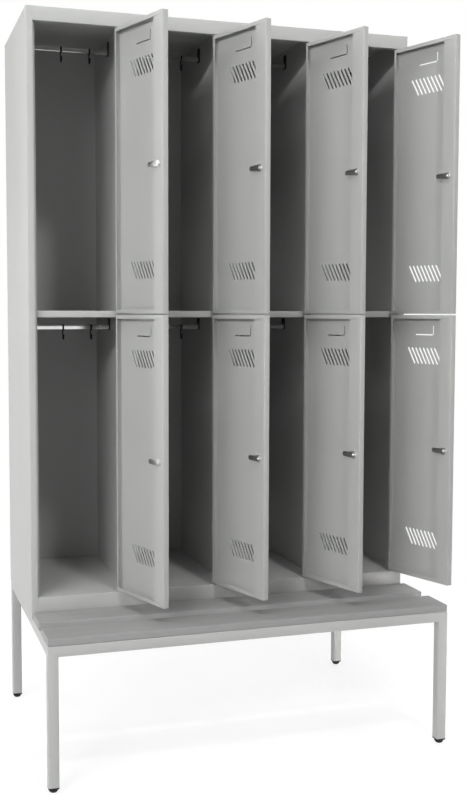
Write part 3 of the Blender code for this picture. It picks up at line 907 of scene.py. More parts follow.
@dataclass(frozen=True)
class PlasticFinish:
    """Moulded plastic with a fine spark texture."""

    name: str
    colour: Colour
    roughness: float
    gloss: float = 0.2
    spark_scale: float = 1400.0
    cloud_scale: float = 60.0
    dust: float = 0.15
    depth: float = 0.2
    relief: float = 0.0002

    def build(self, coat: bpy.types.NodeTree) -> bpy.types.Material:
        """Make the material.

        Args:
            coat: The sprayed coat texture, used finer here.

        Returns:
            The material.
        """
        made, sheet, shader = start_material(self.name)
        scales = {"Peel_Scale": self.spark_scale, "Cloud_Scale": self.cloud_scale}
        texture = sheet.place_group(coat, **scales, Dust=self.dust)
        feed_coat(sheet, shader, texture, self.colour, self.roughness)
        shader.inputs["Specular IOR Level"].default_value = self.gloss
        feed_bump(sheet, shader, self.depth, self.relief, texture.outputs["Height"])
        return made


class Finishes:
    """All the object's materials, by slot."""

    def __init__(self) -> None:
        """Build the shared textures and the materials."""
        coat = make_coat_group()
        grain = make_grain_group()
        brush = make_brush_group()
        self.paint = PaintFinish("light_grey_powder_coat", (0.452, 0.458, 0.447)).build(coat)
        board = BoardFinish("grey_lacquered_board", (0.305, 0.306, 0.303), (0.285, 0.286, 0.283))
        self.board = board.build(grain)
        self.zinc = MetalFinish("bright_zinc", (0.80, 0.80, 0.79), 0.13).build(brush)
        self.chrome = MetalFinish("satin_chrome", (0.76, 0.76, 0.75), 0.29).build(brush)
        self.black = PlasticFinish("black_moulded_plastic", (0.012, 0.012, 0.013), 0.42).build(coat)

    def by_slot(self) -> dict[str, bpy.types.Material]:
        """List the materials by slot.

        Returns:
            Each record slot's material.
        """
        return {
            Slot.BODY.value: self.paint,
            Slot.SEAT.value: self.board,
            Slot.RAIL.value: self.zinc,
            Slot.LOCK.value: self.chrome,
            Slot.FOOT.value: self.black,
        }


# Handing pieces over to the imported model's bodies


def hand_over(piece: bpy.types.Object, body: str, nodes: Sequence[str]) -> None:
    """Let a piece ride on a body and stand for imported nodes.

    Args:
        piece: The piece, in its place.
        body: The body that it moves with.
        nodes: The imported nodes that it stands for.
    """
    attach(piece, body)
    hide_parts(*nodes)
    LOG.info("%s rides on %s, for %s", piece.name, body, ", ".join(nodes))


def place_copy(
    name: str, data: bpy.types.Mesh, place: Sequence[float], turn: float = 0.0
) -> bpy.types.Object:
    """Place another object on a shared mesh.

    Args:
        name: The object's name.
        data: The shared mesh.
        place: Where its origin goes.
        turn: Its turn about Z.

    Returns:
        The linked object.
    """
    made = link_object(name, data)
    made.location = place
    made.rotation_euler.z = turn
    return made


def take_mesh(source: bpy.types.Object) -> bpy.types.Mesh:
    """Keep an object's mesh and remove the object.

    Args:
        source: The object.

    Returns:
        Its mesh.
    """
    data = source.data
    bpy.data.objects.remove(source, do_unlink=True)
    return data


# The cabinet


@dataclass(frozen=True)
class Cabinet:
    """The walls, posts, top, floor and shelves, folded from sheet with rounded folds."""

    plan: LockerPlan
    paint: bpy.types.Material
    shelf_edge: float = 0.020
    shelf_return: float = 0.010
    pin_radius: float = 0.0028
    pin_reach: float = 0.006
    pin_inset: float = 0.006
    pin_depth: float = 0.0055
    door_gap: float = 0.0025
    door_end_gap: float = 0.003
    door_seam: float = 0.004
    tab_thickness: float = 0.002
    tab_reach: float = 0.005
    tab_front: float = 0.0008
    cut_margin: float = 0.005

    def build(self) -> None:
        """Build every panel."""
        for mirrored in (False, True):
            self.build_side(mirrored)
        for number in range(1, self.plan.columns):
            self.build_partition(number)
        self.build_top()
        self.build_floor()
        self.build_back()
        self.build_shelves()

    @property
    def inner_front(self) -> float:
        """Y just behind the posts' returns."""
        return self.plan.front + self.plan.post_return + self.plan.sheet + self.plan.gap

    @property
    def inner_back(self) -> float:
        """Y just before the back panel."""
        return self.plan.rear - self.plan.sheet - self.plan.gap

    @property
    def inner_top(self) -> float:
        """Z just below the top sheet."""
        return self.plan.top - self.plan.sheet - self.plan.gap

    @property
    def seam_height(self) -> float:
        """Middle height of the seam between the two rows of doors."""
        return (self.plan.opening_bottom + self.plan.opening_top) / 2

    def fold(
        self, name: str, path: Sequence[Point2], axis: Axis, start: float, end: float
    ) -> bpy.types.Object:
        """Fold a strip along a path, with its thickness to the left.

        Args:
            name: The object's name.
            path: The path's corners.
            axis: The direction of the folds.
            start: Where the strip starts along the folds.
            end: Where it ends.

        Returns:
            The strip.
        """
        line = rounded_path(path, self.plan.fold)
        draft = MeshDraft().prism(sheet_outline(line, self.plan.sheet), axis, start, end)
        return draft.finish(name, self.paint)

    def hand(self, panel: bpy.types.Object, node: str) -> None:
        """Shade a panel and let it stand for its node."""
        hand_over(shade(panel), "frame", [node])

    def pin_x(self, column: int) -> float:
        """X of the pivot at the right of a column, counted from 0."""
        return self.plan.boundary(column + 1) - self.plan.post_face - self.door_gap - self.pin_inset

    def add_hinge(self, panel: bpy.types.Object, column: int) -> None:
        """Join the pin plate between the two doors of a column.

        Args:
            panel: The panel that carries the plate.
            column: The column, counted from 0.
        """
        x = self.pin_x(column)
        y = self.plan.front + self.pin_depth
        post = self.plan.boundary(column + 1) - self.plan.post_face + self.plan.sheet / 2
        half = self.tab_thickness / 2
        low = (x - self.tab_reach, self.plan.front + self.tab_front, self.seam_height - half)
        high = (post, y + self.tab_reach, self.seam_height + half)
        combine(panel, MeshDraft().box(low, high).finish("hinge_plate"), "UNION")
        length = self.door_seam + 2 * self.pin_reach
        pin = MeshDraft().cylinder((x, y, self.seam_height), self.pin_radius, length, Axis.Z, PIN_SIDES)
        combine(panel, pin.finish("hinge_pin"), "UNION")

    def add_end_pins(self, panel: bpy.types.Object, face: float, inward: float) -> None:
        """Join the pins that stand in the opening's end.

        Args:
            panel: The panel that carries them.
            face: Height of the fascia return's face.
            inward: 1 for pins that point up, -1 for pins that point down.
        """
        root = face - inward * self.plan.sheet / 2
        length = self.plan.sheet / 2 + self.door_end_gap + self.pin_reach
        y = self.plan.front + self.pin_depth
        for column in range(self.plan.columns):
            middle = (self.pin_x(column), y, root + inward * length / 2)
            pin = MeshDraft().cylinder(middle, self.pin_radius, length, Axis.Z, PIN_SIDES)
            combine(panel, pin.finish("end_pin"), "UNION")

    def build_side(self, mirrored: bool) -> None:
        """Fold one side wall with its post, stop lip and flanges.

        Args:
            mirrored: Whether it is the right wall.
        """
        plan = self.plan
        wall = plan.right if mirrored else plan.left
        inward = -1.0 if mirrored else 1.0
        back = self.inner_back
        post = wall + inward * plan.post_face
        lip = plan.front + plan.post_return
        path = [
            (wall + inward * plan.rear_flange, back),
            (wall, back),
            (wall, plan.front),
            (post, plan.front),
            (post, lip),
            (post + inward * plan.stop_lip, lip),
        ]
        name = "side_right" if mirrored else "side_left"
        ordered = path[::-1] if mirrored else path
        panel = self.fold(f"{name}_wall", ordered, Axis.Z, plan.bottom, self.inner_top)
        ends = sorted((wall + inward * plan.sheet / 2, wall + inward * plan.foot_flange))
        flange = MeshDraft().box(
            (ends[0], self.inner_front, plan.bottom),
            (ends[1], back - plan.sheet / 2, plan.bottom + plan.sheet),
        )
        combine(panel, flange.finish("foot_flange"), "UNION")
        if mirrored:
            self.add_hinge(panel, plan.columns - 1)
        self.hand(panel, name)

    def build_partition(self, number: int) -> None:
        """Fold the post between two columns and join its web.

        Args:
            number: The partition, counted from 1 at the left.
        """
        plan = self.plan
        x = plan.boundary(number)
        low = plan.opening_bottom + plan.gap
        high = plan.opening_top - plan.gap
        lip = plan.front + plan.post_return
        path = [
            (x - plan.post_face - plan.stop_lip, lip),
            (x - plan.post_face, lip),
            (x - plan.post_face, plan.front),
            (x + plan.post_face, plan.front),
            (x + plan.post_face, lip),
            (x + plan.post_face + plan.stop_lip, lip),
        ]
        name = f"partition_{number}"
        panel = self.fold(f"{name}_post", path, Axis.Z, low, high)
        front = plan.front + plan.sheet / 2
        back = self.inner_back - plan.gap
        outline = [
            (front, low),
            (back, low),
            (back, self.inner_top),
            (self.inner_front, self.inner_top),
            (self.inner_front, high),
            (front, high),
        ]
        web = MeshDraft().prism(outline, Axis.X, x - plan.sheet / 2, x + plan.sheet / 2)
        combine(panel, web.finish("web"), "UNION")
        self.add_hinge(panel, number - 1)
        self.hand(panel, name)

    def cut_corners(self, panel: bpy.types.Object, inner: float, low: Point2, high: Point2) -> None:
        """Cut a panel away around both side posts.

        Args:
            panel: The panel to cut.
            inner: How far in from each side the cut reaches.
            low: Lowest Y and Z of the cut.
            high: Highest Y and Z of the cut.
        """
        for wall, inward in ((self.plan.left, 1.0), (self.plan.right, -1.0)):
            ends = sorted((wall - inward * self.cut_margin, wall + inward * inner))
            cutter = MeshDraft().box((ends[0], *low), (ends[1], *high))
            combine(panel, cutter.finish("post_corner"), "DIFFERENCE")

    def build_top(self) -> None:
        """Fold the top sheet with its fascia and the fascia's return."""
        plan = self.plan
        path = [
            (self.inner_back, plan.top),
            (plan.front, plan.top),
            (plan.front, plan.opening_top),
            (plan.front + plan.post_return - plan.gap, plan.opening_top),
        ]
        panel = self.fold("top_sheet", path, Axis.X, plan.left, plan.right)
        low = (plan.front - plan.post_face, plan.opening_top - plan.post_face)
        high = (self.inner_front, plan.top - plan.sheet)
        self.cut_corners(panel, plan.post_face - plan.weld_lap, low, high)
        self.add_end_pins(panel, plan.opening_top, -1.0)
        self.hand(panel, "top_panel")

    def build_floor(self) -> None:
        """Fold the floor sheet with its fascia, rear leg and foot return."""
        plan = self.plan
        back = self.inner_back - plan.sheet - plan.gap
        path = [
            (back, plan.bottom + plan.sheet + plan.gap),
            (back, plan.opening_bottom),
            (plan.front, plan.opening_bottom),
            (plan.front, plan.bottom),
            (plan.front + plan.post_return, plan.bottom),
        ]
        inset = plan.sheet + plan.gap
        panel = self.fold("floor_sheet", path, Axis.X, plan.left + inset, plan.right - inset)
        under = plan.bottom - plan.post_face
        over = plan.opening_bottom + plan.post_face
        low = (plan.front - plan.post_face, under)
        self.cut_corners(panel, plan.post_face - plan.weld_lap, low, (self.inner_front, over))
        low = (plan.front + plan.post_return - plan.gap, under)
        reach = plan.post_face + plan.stop_lip + plan.gap
        self.cut_corners(panel, reach, low, (self.inner_front + plan.sheet, over))
        self.add_end_pins(panel, plan.opening_bottom, 1.0)
        self.hand(panel, "bottom_panel")

    def build_back(self) -> None:
        """Cut the flat sheet that closes the back."""
        plan = self.plan
        low = (plan.left, plan.rear - plan.sheet, plan.bottom)
        panel = MeshDraft().box(low, (plan.right, plan.rear, plan.top)).finish("back_sheet", self.paint)
        round_edges(panel, plan.sheet / 4, 1)
        self.hand(panel, "back_panel")

    def build_shelves(self) -> None:
        """Fold one shelf pan and place it in each column."""
        plan = self.plan
        inset = plan.sheet + plan.gap
        width = plan.pitch - 2 * inset
        depth = self.inner_back - inset - self.inner_front
        pan = MeshDraft().box((0.0, 0.0, 0.0), (width, depth, self.shelf_edge))
        shelf = pan.finish("shelf_pan", self.paint)
        round_edges(shelf, plan.fold, FOLD_STEPS)
        skin = plan.sheet
        hollow = MeshDraft().box((skin, skin, skin), (width - skin, depth - skin, self.shelf_edge - skin))
        combine(shelf, hollow.finish("shelf_hollow"), "DIFFERENCE")
        edge = self.shelf_return
        window = MeshDraft().box((edge, edge, -edge), (width - edge, depth - edge, self.shelf_edge / 2))
        combine(shelf, window.finish("shelf_window"), "DIFFERENCE")
        data = take_mesh(shade(shelf))
        height = self.seam_height - self.shelf_edge / 2
        for column in range(plan.columns):
            place = (plan.boundary(column) + inset, self.inner_front, height)
            panel = place_copy(f"shelf_pan_{column + 1}", data, place)
            hand_over(panel, "frame", [f"shelf_{column + 1}"])


# The doors


@dataclass(frozen=True)
class DoorPan:
    """One door pan, built about its pivot: outer sheet, returned edges and a boxed stile."""

    paint: bpy.types.Material
    width: float = 0.260
    height: float = 0.843
    depth: float = 0.019
    sheet: float = 0.001
    rounding: float = 0.0015
    hinge_lip: float = 0.009
    end_lip: float = 0.012
    stile: float = 0.047
    pin_inset: float = 0.006
    pin_depth: float = 0.0055
    pin_hole: float = 0.0031
    lock_hole: float = 0.0098
    vent_slots: int = 8
    vent_margin: float = 0.101
    vent_drop: float = 0.1035
    vent_height: float = 0.052
    vent_slot: float = 0.0068
    vent_pitch: float = 0.016
    vent_lean: float = 0.030
    vent_start: float = 0.062
    vent_end_steps: int = 4
    card_width: float = 0.072
    card_height: float = 0.028
    card_slit: float = 0.0035
    card_start: float = 0.094
    card_drop: float = 0.0625
    card_corner: float = 0.001
    seam_reach: float = 0.030
    seam_width: float = 0.0009
    seam_depth: float = 0.0008

    @property
    def stile_start(self) -> float:
        """Distance of the stile's inner side from the hinge end."""
        return self.width - self.stile

    @property
    def lock_place(self) -> Point3:
        """The lock's axis, where it leaves the outer face."""
        return (self.pin_inset - self.width + self.stile / 2, -self.pin_depth, self.height / 2)

    def add_box(self, draft: MeshDraft, along: Point2, depth: Point2, height: Point2) -> MeshDraft:
        """Add a box by its reach from the hinge end, from the outer face and from the lower end.

        Args:
            draft: The draft to add to.
            along: From and to, from the hinge end.
            depth: From and to, from the outer face.
            height: From and to, from the lower end.

        Returns:
            The draft.
        """
        low = (self.pin_inset - along[1], depth[0] - self.pin_depth, height[0])
        high = (self.pin_inset - along[0], depth[1] - self.pin_depth, height[1])
        return draft.box(low, high)

    def add_vent(self, draft: MeshDraft, bottom: float) -> None:
        """Add one group of slanting slots with round ends, as cutters.

        Args:
            draft: The draft to add to.
            bottom: Height of the slots' lower ends.
        """
        radius = self.vent_slot / 2 * math.cos(math.atan2(self.vent_lean, self.vent_height))
        through = (-self.pin_depth - self.depth / 4, -self.pin_depth + self.depth / 4)
        for slot in range(self.vent_slots):
            end = self.pin_inset - self.vent_start - slot * self.vent_pitch
            upper = Vector((end, bottom + self.vent_height))
            lower = Vector((upper.x - self.vent_lean, bottom))
            ahead = (upper - lower).normalized()
            heading = math.atan2(ahead.y, ahead.x)
            outline = []
            for centre, start in (
                (upper - ahead * radius, -math.pi / 2),
                (lower + ahead * radius, math.pi / 2),
            ):
                outline += arc(tuple(centre), radius, heading + start, math.pi, self.vent_end_steps)
            draft.prism(outline, Axis.Y, *through)

    def add_card_slits(self, draft: MeshDraft) -> None:
        """Add the two bare slits that hold a card, as cutters.

        Args:
            draft: The draft to add to.
        """
        through = (-self.depth / 4, self.depth / 4)
        end = self.card_start + self.card_width
        line = self.height - self.card_drop
        half = self.card_slit / 2
        self.add_box(draft, (self.card_start, end), through, (line - half, line + half))
        upright = end + self.card_corner
        foot = line + self.card_corner
        self.add_box(draft, (upright, upright + self.card_slit), through, (foot, foot + self.card_height))

    def build(self) -> bpy.types.Mesh:
        """Build the pan with its openings.

        Returns:
            Its mesh.
        """
        pan = self.add_box(MeshDraft(), (0.0, self.width), (0.0, self.depth), (0.0, self.height))
        door = pan.finish("door_pan", self.paint)
        round_edges(door, self.rounding, FOLD_STEPS)
        skin = self.sheet
        inner = (skin, self.depth - skin)
        tall = (skin, self.height - skin)
        hollows = self.add_box(MeshDraft(), (skin, self.stile_start - skin), inner, tall)
        self.add_box(hollows, (self.stile_start, self.width - skin), inner, tall)
        combine(door, hollows.finish("door_hollows"), "DIFFERENCE")
        window = self.add_box(
            MeshDraft(),
            (self.hinge_lip, self.stile_start - skin),
            (self.depth / 2, self.depth * 2),
            (self.end_lip, self.height - self.end_lip),
        )
        combine(door, window.finish("door_recess"), "DIFFERENCE")
        openings = MeshDraft()
        self.add_vent(openings, self.vent_margin)
        self.add_vent(openings, self.height - self.vent_drop - self.vent_height)
        self.add_card_slits(openings)
        combine(door, openings.finish("door_openings"), "DIFFERENCE")
        self.cut_seams(door)
        self.cut_holes(door)
        return take_mesh(shade(door))

    def cut_seams(self, door: bpy.types.Object) -> None:
        """Cut the fine seams where the end returns lap over the stile.

        Args:
            door: The door to cut.
        """
        for line in (self.end_lip, self.height - self.end_lip):
            seam = self.add_box(
                MeshDraft(),
                (self.stile_start - self.sheet / 2, self.stile_start + self.seam_reach),
                (self.depth - self.seam_depth, self.depth * 2),
                (line - self.seam_width / 2, line + self.seam_width / 2),
            )
            combine(door, seam.finish("door_seam"), "DIFFERENCE")

    def cut_holes(self, door: bpy.types.Object) -> None:
        """Cut the holes for the pivot pins and the lock.

        Args:
            door: The door to cut.
        """
        for end in (0.0, self.height):
            hole = MeshDraft().cylinder((0.0, 0.0, end), self.pin_hole, self.end_lip, Axis.Z, PIN_SIDES)
            combine(door, hole.finish("pin_hole"), "DIFFERENCE")
        x, y, z = self.lock_place
        middle = (x, y + self.depth / 2, z)
        hole = MeshDraft().cylinder(middle, self.lock_hole, self.depth * 2, Axis.Y, ROUND_SIDES)
        combine(door, hole.finish("lock_hole"), "DIFFERENCE")


@dataclass(frozen=True)
class CamLock:
    """A cam lock, built round its own axis, which points along Y from the outer face inward."""

    metal: bpy.types.Material
    door_depth: float = 0.019
    gap: float = 0.0003
    barrel_radius: float = 0.0095
    plug_radius: float = 0.006
    clearance: float = 0.0003
    collar_radius: float = 0.0115
    collar_depth: float = 0.002
    nut_radius: float = 0.0115
    nut_depth: float = 0.0035
    nut_sides: int = 6
    nut_rounding: float = 0.0004
    cam_reach: float = 0.0435
    cam_width: float = 0.017
    cam_tip_width: float = 0.014
    cam_depth: float = 0.0025
    cam_corner: float = 0.003
    cam_rounding: float = 0.0005
    cam_round_steps: int = 16
    screw_radius: float = 0.0048
    screw_depth: float = 0.0025
    screw_dome: tuple[Point2, ...] = ((1.0, 0.55), (0.88, 0.28), (0.6, 0.08))
    screw_slot: Point2 = (0.11, 0.6)
    keyway_length: float = 0.007
    keyway_width: float = 0.0012
    keyway_depth: float = 0.006

    @property
    def front(self) -> float:
        """Place of the collar's face along the axis."""
        return -self.gap - self.collar_depth

    @property
    def cam_front(self) -> float:
        """Place of the cam plate's outer side along the axis."""
        return self.door_depth + self.nut_depth + 2 * self.gap

    def build_barrel(self) -> bpy.types.Mesh:
        """Build the fixed case: chamfered collar, barrel and hexagon nut.

        Returns:
            Its mesh.
        """
        rear = self.door_depth + self.gap + self.nut_depth
        bore = self.plug_radius
        edge = self.collar_depth / 3
        profile = [
            (bore, self.front + edge / 2),
            (bore + edge / 2, self.front),
            (self.collar_radius - edge, self.front),
            (self.collar_radius - edge / 3, self.front + edge / 3),
            (self.collar_radius, self.front + edge),
            (self.collar_radius, -self.gap),
            (self.barrel_radius, -self.gap),
            (self.barrel_radius, rear - edge),
            (self.barrel_radius - edge, rear),
            (bore, rear),
            (bore, self.front + edge / 2),
        ]
        case = MeshDraft().lathe(profile, Axis.Y, ROUND_SIDES).finish("lock_case", self.metal)
        start = self.door_depth + self.gap
        outline = circle_outline(self.nut_radius, self.nut_sides)
        block = MeshDraft().prism(outline, Axis.Y, start, start + self.nut_depth - self.gap)
        nut = block.finish("lock_nut", self.metal)
        round_edges(nut, self.nut_rounding, EDGE_STEPS)
        bore = self.barrel_radius - edge
        hole = MeshDraft().cylinder((0.0, start, 0.0), bore, self.door_depth, Axis.Y, ROUND_SIDES)
        combine(nut, hole.finish("nut_hole"), "DIFFERENCE")
        combine(case, nut, "UNION")
        return take_mesh(shade(case))

    def cam_outline(self) -> list[Point2]:
        """Draw the cam plate, round about the axis and chamfered at its tip.

        Returns:
            Its corners in order.
        """
        tip = self.cam_tip_width / 2
        end = [
            (self.cam_reach - self.cam_corner, -tip),
            (self.cam_reach, self.cam_corner - tip),
            (self.cam_reach, tip - self.cam_corner),
            (self.cam_reach - self.cam_corner, tip),
        ]
        return end + arc((0.0, 0.0), self.cam_width / 2, math.pi / 2, math.pi, self.cam_round_steps)

    def build_cam(self) -> bpy.types.Mesh:
        """Build the turning piece: plug with its keyway, cam plate and cross-slotted screw.

        Returns:
            Its mesh.
        """
        rear = self.cam_front + self.cam_depth
        radius = self.plug_radius - self.clearance
        edge = self.clearance * 2
        plug_profile = [
            (0.0, self.front),
            (radius - edge, self.front),
            (radius, self.front + edge),
            (radius, self.cam_front + self.cam_depth / 2),
            (0.0, self.cam_front + self.cam_depth / 2),
        ]
        cam = MeshDraft().lathe(plug_profile, Axis.Y, ROUND_SIDES).finish("lock_plug", self.metal)
        half_width, half_length = self.keyway_width / 2, self.keyway_length / 2
        keyway = MeshDraft().box(
            (-half_width, self.front - self.gap, -half_length),
            (half_width, self.front + self.keyway_depth, half_length),
        )
        combine(cam, keyway.finish("keyway"), "DIFFERENCE")
        blank = MeshDraft().prism(self.cam_outline(), Axis.Y, self.cam_front, rear)
        plate = blank.finish("cam_plate", self.metal)
        round_edges(plate, self.cam_rounding, EDGE_STEPS)
        combine(cam, plate, "UNION")
        combine(cam, self.build_screw(rear), "UNION")
        return take_mesh(shade(cam))

    def build_screw(self, seat: float) -> bpy.types.Object:
        """Build the cam's screw with a domed head and a cross slot.

        Args:
            seat: Place of the cam plate's inner side along the axis.

        Returns:
            The screw.
        """
        top = seat + self.screw_depth
        radius = self.screw_radius
        root = seat - self.cam_depth / 2
        dome = [(radius * out, top - self.screw_depth * down) for out, down in self.screw_dome]
        profile = [(0.0, root), (radius, root), *dome, (0.0, top)]
        screw = MeshDraft().lathe(profile, Axis.Y, ROUND_SIDES).finish("cam_screw", self.metal)
        slot, reach = (radius * share for share in self.screw_slot)
        for x, z in ((slot, reach), (reach, slot)):
            cutter = MeshDraft().box((-x, top - self.screw_depth / 2, -z), (x, top * 2, z))
            combine(screw, cutter.finish("screw_slot"), "DIFFERENCE")
        return screw


@dataclass(frozen=True)
class DoorSet:
    """The doors on their pivots, each with its lock."""

    joints: dict[str, dict]
    paint: bpy.types.Material
    metal: bpy.types.Material
    columns: int
    open_angle: float = math.radians(108.6)

    def build(self) -> None:
        """Build one door and one lock, and place them at each pivot."""
        pan = DoorPan(self.paint)
        lock = CamLock(self.metal)
        door_mesh, case_mesh, cam_mesh = pan.build(), lock.build_barrel(), lock.build_cam()
        turn = Matrix.Rotation(self.open_angle, 4, "Z")
        for column in range(1, self.columns + 1):
            for tier in Tier:
                label = f"{column}_{tier.value}"
                pivot = Vector(self.joints[f"door_swing_{label}"]["pos_m"])
                place = pivot + turn @ Vector(pan.lock_place)
                door = place_copy(f"door_pan_{label}", door_mesh, pivot, self.open_angle)
                hand_over(door, f"leaf_{label}", [f"door_{label}"])
                case = place_copy(f"lock_case_{label}", case_mesh, place, self.open_angle)
                hand_over(case, f"leaf_{label}", [f"lock_barrel_{label}"])
                cam = place_copy(f"lock_plate_{label}", cam_mesh, place, self.open_angle)
                hand_over(cam, f"cam_{label}", [f"lock_cam_{label}"])


# The coat rails


@dataclass(frozen=True)
class CoatRail:
    """A coat rail with its end sockets and two hooks, built from the front left of its own box."""

    metal: bpy.types.Material
    plastic: bpy.types.Material
    length: float
    socket_above: float
    depth: float = 0.020
    height: float = 0.014
    rounding: float = 0.0009
    edge: float = 0.0006
    socket_wall: float = 0.004
    socket_depth: float = 0.024
    socket_below: float = 0.003
    socket_corner: float = 0.004
    socket_skin: float = 0.0018
    plate_share: float = 0.6
    screw_radius: float = 0.0032
    screw_depth: float = 0.0026
    screw_share: float = 0.55
    clip: float = 0.002
    clip_width: float = 0.0055
    wire: float = 0.004
    shank: float = 0.022
    bend: float = 0.009
    tip: float = 0.007
    bend_steps: int = 12
    wire_sides: int = 16
    ball_rings: int = 10
    ball_share: float = 0.62
    hook_shares: Point2 = (0.492, 0.793)

    def build_bar(self) -> bpy.types.Mesh:
        """Build the bar: a flat tube with rounded edges.

        Returns:
            Its mesh.
        """
        outline = rounded_rectangle((0.0, -self.height), (self.depth, 0.0), self.rounding)
        half = self.socket_wall / 2
        bar = MeshDraft().prism(outline, Axis.X, half, self.length - half)
        return take_mesh(shade(bar.finish("rail_bar", self.metal)))

    def build_fittings(self) -> bpy.types.Mesh:
        """Build both end sockets and both hooks.

        Returns:
            Their mesh.
        """
        fittings = self.build_socket(0.0, 1.0)
        combine(fittings, self.build_socket(self.length, -1.0), "UNION")
        for share in self.hook_shares:
            combine(fittings, self.build_hook(share * self.length), "UNION")
        return take_mesh(shade(fittings))

    def build_socket(self, wall: float, inward: float) -> bpy.types.Object:
        """Build a socket: a plate on the wall, a collar round the bar and a screw above it.

        Args:
            wall: X of the wall's side.
            inward: 1 where the bar leaves toward +X, -1 toward -X.

        Returns:
            The socket.
        """
        middle = self.depth / 2
        face = wall + inward * self.socket_wall * self.plate_share
        low = (middle - self.socket_depth / 2, -self.height - self.socket_below)
        high = (middle + self.socket_depth / 2, self.socket_above)
        outline = rounded_rectangle(low, high, self.socket_corner)
        plate = MeshDraft().prism(outline, Axis.X, *sorted((wall, face)))
        socket = plate.finish("rail_socket", self.plastic)
        round_edges(socket, self.edge, EDGE_STEPS)
        skin = self.socket_skin
        low, high = (-skin, -self.height - skin), (self.depth + skin, skin)
        ends = sorted((wall + inward * skin, wall + inward * self.socket_wall))
        collar = MeshDraft().prism(rounded_rectangle(low, high, self.rounding + skin), Axis.X, *ends)
        combine(socket, collar.finish("socket_collar", self.plastic), "UNION")
        place = (face, middle, self.socket_above * self.screw_share)
        head = MeshDraft().cylinder(place, self.screw_radius, self.screw_depth, Axis.X, PIN_SIDES)
        screw = head.finish("socket_screw", self.plastic)
        round_edges(screw, self.edge, EDGE_STEPS)
        combine(socket, screw, "UNION")
        return socket

    def build_hook(self, x: float) -> bpy.types.Object:
        """Build a hook: a strap round the bar and a bent wire with a ball at its tip.

        Args:
            x: The hook's middle along the bar.

        Returns:
            The hook.
        """
        low, high = (-self.clip, -self.height - self.clip), (self.depth + self.clip, self.clip)
        outline = rounded_rectangle(low, high, self.rounding + self.clip)
        half = self.clip_width / 2
        strap = MeshDraft().prism(outline, Axis.X, x - half, x + half).finish("hook_strap", self.plastic)
        round_edges(strap, self.edge, EDGE_STEPS)
        middle = self.depth / 2
        start = -self.height - self.clip / 2
        points = [Vector((x, middle, start)), Vector((x, middle, start - self.shank / 2))]
        for step in range(self.bend_steps + 1):
            angle = -math.pi * step / self.bend_steps
            reach = self.bend * (math.cos(angle) - 1.0)
            points.append(Vector((x, middle + reach, start - self.shank + self.bend * math.sin(angle))))
        tip = points[-1] + Vector((0.0, 0.0, self.tip - self.wire / 2))
        points.append(tip)
        wire = MeshDraft().tube(points, self.wire / 2, self.wire_sides)
        combine(strap, wire.finish("hook_wire", self.plastic), "UNION")
        ball = MeshDraft()
        bmesh.ops.create_uvsphere(
            ball.mesh,
            u_segments=self.wire_sides,
            v_segments=self.ball_rings,
            radius=self.wire * self.ball_share,
            matrix=Matrix.Translation(tip),
        )
        combine(strap, ball.finish("hook_ball", self.plastic), "UNION")
        return strap


@dataclass(frozen=True)
class RailSet:
    """The coat rails of all compartments."""

    plan: LockerPlan
    metal: bpy.types.Material
    plastic: bpy.types.Material
    setback: float = 0.286
    lower_socket: float = 0.022
    upper_socket: float = 0.029

    def build(self) -> None:
        """Build one rail of each row and place it in each compartment."""
        inset = self.plan.sheet + self.plan.gap
        for tier, above in ((Tier.LOWER, self.lower_socket), (Tier.UPPER, self.upper_socket)):
            rail = CoatRail(self.metal, self.plastic, self.plan.pitch - 2 * inset, above)
            bar, fittings = rail.build_bar(), rail.build_fittings()
            for column in range(self.plan.columns):
                label = f"{column + 1}_{tier.value}"
                node = f"coat_rail_{label}"
                _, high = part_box(node)
                place = (
                    self.plan.boundary(column) + inset,
                    self.plan.front + self.setback,
                    high.z - rail.socket_above,
                )
                hand_over(place_copy(f"rail_bar_{label}", bar, place), "frame", [node])
                hand_over(place_copy(f"rail_hooks_{label}", fittings, place), "frame", [node])


# The bench


